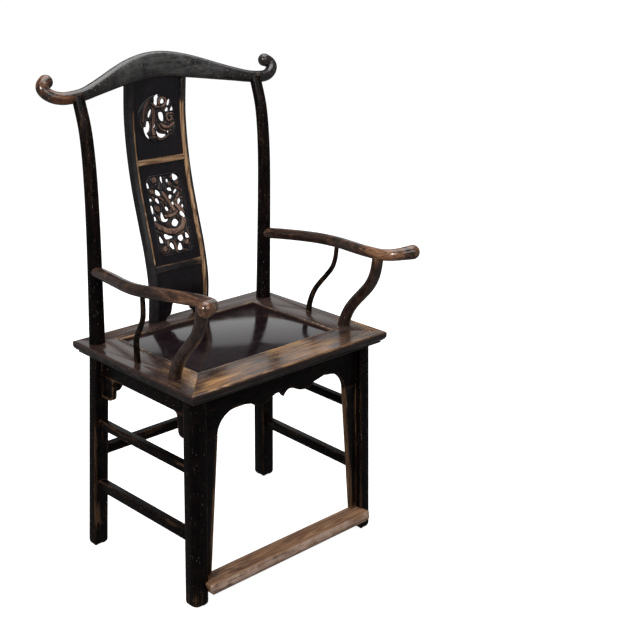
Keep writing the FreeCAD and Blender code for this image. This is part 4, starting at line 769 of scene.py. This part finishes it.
def fieldDistance(x, z, carving):  # how far inside the carved field
    if "radius" in carving:
        return carving["radius"] - np.hypot(x, z)
    outX, outZ = np.abs(x) - carving["half"][0], np.abs(z) - carving["half"][1]
    corner = (outX + outZ + carving["chamfer"]) / math.sqrt(2)
    return -np.maximum(np.maximum(outX, outZ), corner)


def bodyHeight(distance, along, halfWidth, rise, scaled):
    crown = rounded(halfWidth - distance, halfWidth)
    body = relief["bodyFoot"] + (rise - relief["bodyFoot"]) * crown
    if scaled:
        scales = np.abs(np.sin(along * relief["scaleTurn"]) * np.cos(distance * relief["scaleAcross"]))
        return body + relief["scale"] * scales * (crown > 0) - relief["scaleSink"]
    return body - relief["vein"] * tent(distance, relief["veinWidth"])


def reliefAt(x, z, carving):
    field = fieldDistance(x, z, carving)
    edge = np.minimum(holeDistance(x, z, carving["openings"]), field - relief["margin"])
    ripple = relief["ripple"] * np.sin(edge * relief["rippleTurn"]) * (edge > relief["rippleFrom"])
    height = relief["ground"] + relief["rimRise"] * rounded(edge, relief["rimWidth"]) + ripple
    for path, halfWidth, rise, scaled in carving["bodies"]:
        distance, along = polylineDistance(x, z, cornersCut(path, 3, False), False)
        body = np.maximum(bodyHeight(distance, along, halfWidth, rise, scaled), relief["bodyFoot"])
        groove = relief["groove"] * tent(distance - halfWidth - relief["grooveOut"], relief["grooveWidth"])
        height = np.where(distance < halfWidth, body, height - groove)
    beadEdge = relief["beadWidth"] - np.abs(field - relief["beadAt"])
    bead = (relief["bead"] * rounded(beadEdge, relief["beadWidth"])
            - relief["beadGroove"] * tent(field - relief["beadGrooveAt"], relief["beadGroove"]))
    flat = np.zeros(x.shape)
    if "bosses" in carving:  # a row of low bosses under the carved field
        row = carving["bosses"]
        above = z - row["middle"]
        band = tent(above, row["halfHeight"]) * (np.abs(x) < row["halfWidth"])
        waves = np.abs(np.sin(x * relief["bossAcross"]) * np.cos(above * relief["bossUp"]))
        flat = relief["boss"] * band * waves
    outside = np.where(field > relief["flatFrom"], bead, flat)
    return np.where(field > relief["margin"], np.minimum(height, relief["top"]), outside), field


def makePanel(carving):
    low, high, openings = carving["low"], carving["high"], carving["openings"]
    halfWidth = splat["halfWidth"]
    cell = carving["cell"] * mm
    bm = bmesh.new()
    bmesh.ops.create_grid(bm, x_segments=round(2 * halfWidth / cell),
                          y_segments=round((high - low) / cell), size=1)
    flat = np.array([vert.co[:2] for vert in bm.verts])
    x = flat[:, 0] * halfWidth / mm
    z = (low + (flat[:, 1] + 1) / 2 * (high - low) - carving["middle"]) / mm
    holes = holeDistance(x, z, openings)
    step = relief["snapStep"]
    for _ in range(2):  # points beside an opening are drawn to its edge
        near = np.abs(holes) < carving["cell"] * relief["snapShare"]
        slopeX = (holeDistance(x + step, z, openings) - holes) / step
        slopeZ = (holeDistance(x, z + step, openings) - holes) / step
        x = np.where(near, x - holes * slopeX, x)
        z = np.where(near, z - holes * slopeZ, z)
        holes = holeDistance(x, z, openings)
    height, field = reliefAt(x, z, carving)
    height = np.where(np.abs(holes) < relief["edgeWidth"], np.minimum(height, relief["edgeTop"]), height)
    shown = np.clip((height - relief["ground"]) / relief["shownSpan"], 0, 1)
    beadShown = relief["beadShown"] * (height > relief["beadShownFrom"])
    shown = np.where(field > relief["shownFrom"], shown, beadShown)
    shownLayer = bm.verts.layers.float.new("relief")
    depthLayer = bm.verts.layers.float.new("depth")
    for vert, vx, vz, rise, within, amount in zip(bm.verts, x, z, height, field, shown):
        vert.co = (vx * mm, carving["middle"] + vz * mm, rise * mm)
        vert[shownLayer] = float(amount)
        vert[depthLayer] = splat["thickness" if within < relief["thinFrom"] else "carvedThickness"]
    index = {vert: i for i, vert in enumerate(bm.verts)}
    gone = [face for face in bm.faces
            if np.mean([holes[index[vert]] for vert in face.verts]) < relief["holeFrom"]]
    bmesh.ops.delete(bm, geom=gone, context="FACES")
    grown = bmesh.ops.extrude_face_region(bm, geom=list(bm.faces), use_keep_orig=True)["geom"]
    behind = {item for item in grown if isinstance(item, bmesh.types.BMVert)}
    for vert in bm.verts:
        across, level, rise = vert.co
        face = float(faceAt(level)) + splat["recess"]
        vert.co = (across, face + vert[depthLayer] if vert in behind else face - rise, level)
        if vert in behind:
            vert[shownLayer] = 0.0
    bmesh.ops.recalc_face_normals(bm, faces=bm.faces)
    return bm


finishPiece("splatPanelTop", makePanel(medallion), "carvedLacquer", "z", ["splat_panel_top"], 50)
finishPiece("splatPanelMiddle", makePanel(window), "carvedLacquer", "z", ["splat_panel_middle"], 50)
print("splat carved")


# Studio

studio = {
    "camera": (-1.6037, -1.9663, 1.4359), "turn": 43.61, "pitch": 15.71, "roll": 0.2, "lens": 65.65,
    "sensor": 36, "shift": (-0.0004, -0.1124), "floor": (0.80, 0.80, 0.80), "floorSize": 40,
    "floorRough": 0.8, "floorGlow": 0.9, "room": 0.16, "backdrop": 1.0,
    "lights": {  # place, aim, size, power
        "window": ((-2.6, -0.9, 2.5), (0, 0, 0.7), (0.8, 0.6), 60),
        "ceiling": ((0.4, 0.3, 3.2), (0, 0, 0.5), (2.4, 2.4), 60),
        "rearWindow": ((2.3, 2.5, 1.5), (0, 0, 0.5), (2.6, 1.6), 7),
        "frontFill": ((-0.6, -3.0, 2.6), (0, 0, 0.8), (2.2, 1.6), 25)}}


def makeFloor():
    material = bpy.data.materials.new("whiteSweep")
    material.use_nodes = True
    shader = material.node_tree.nodes["Principled BSDF"]
    shader.inputs["Base Color"].default_value = (*studio["floor"], 1)
    shader.inputs["Roughness"].default_value = studio["floorRough"]
    shader.inputs["Emission Color"].default_value = (1, 1, 1, 1)
    shader.inputs["Emission Strength"].default_value = studio["floorGlow"]
    bm = bmesh.new()
    bmesh.ops.create_grid(bm, x_segments=1, y_segments=1, size=studio["floorSize"])
    mesh = bpy.data.meshes.new("floor")
    bm.to_mesh(mesh)
    bm.free()
    mesh.materials.append(material)
    floor = bpy.data.objects.new("floor", mesh)
    floor.visible_diffuse = False  # the white floor shows, but throws no light back on the dark lacquer
    floor.visible_glossy = False
    bpy.context.scene.collection.objects.link(floor)


def makeWorld():  # a dim room that the camera sees as a white backdrop
    world = bpy.data.worlds.new("softRoom")
    bpy.context.scene.world = world
    world.use_nodes = True
    world.node_tree.nodes.clear()
    air = Paint(world.node_tree)
    seen = air.make("ShaderNodeLightPath", output="Is Camera Ray")
    glow = seen * (studio["backdrop"] - studio["room"]) + studio["room"]
    backdrop = air.make("ShaderNodeBackground", {}, {"Color": (1, 1, 1), "Strength": glow})
    air.make("ShaderNodeOutputWorld", {}, {"Surface": backdrop})


def makeLights():
    for name, (place, aim, size, power) in studio["lights"].items():
        lamp = bpy.data.lights.new(name, "AREA")
        lamp.shape = "RECTANGLE"
        lamp.size, lamp.size_y = size
        lamp.energy = power
        light = bpy.data.objects.new(name, lamp)
        light.location = place
        light.rotation_euler = (Vector(aim) - Vector(place)).to_track_quat("-Z", "Y").to_euler()
        light.visible_camera = False
        bpy.context.scene.collection.objects.link(light)


def makeCamera():
    lens = bpy.data.cameras.new("camera")
    lens.lens = studio["lens"]
    lens.sensor_width = studio["sensor"]
    lens.shift_x, lens.shift_y = studio["shift"]
    turn, pitch = math.radians(studio["turn"]), math.radians(studio["pitch"])
    forward = Vector((math.sin(turn) * math.cos(pitch), math.cos(turn) * math.cos(pitch), -math.sin(pitch)))
    roll = Matrix.Rotation(math.radians(studio["roll"]), 3, "Z")
    camera = bpy.data.objects.new("camera", lens)
    camera.rotation_euler = (forward.to_track_quat("-Z", "Y").to_matrix() @ roll).to_euler()
    camera.location = studio["camera"]
    bpy.context.scene.collection.objects.link(camera)
    bpy.context.scene.camera = camera


makeFloor()
makeWorld()
makeLights()
makeCamera()
bpy.context.scene.view_settings.view_transform = "Standard"
print("studio set")
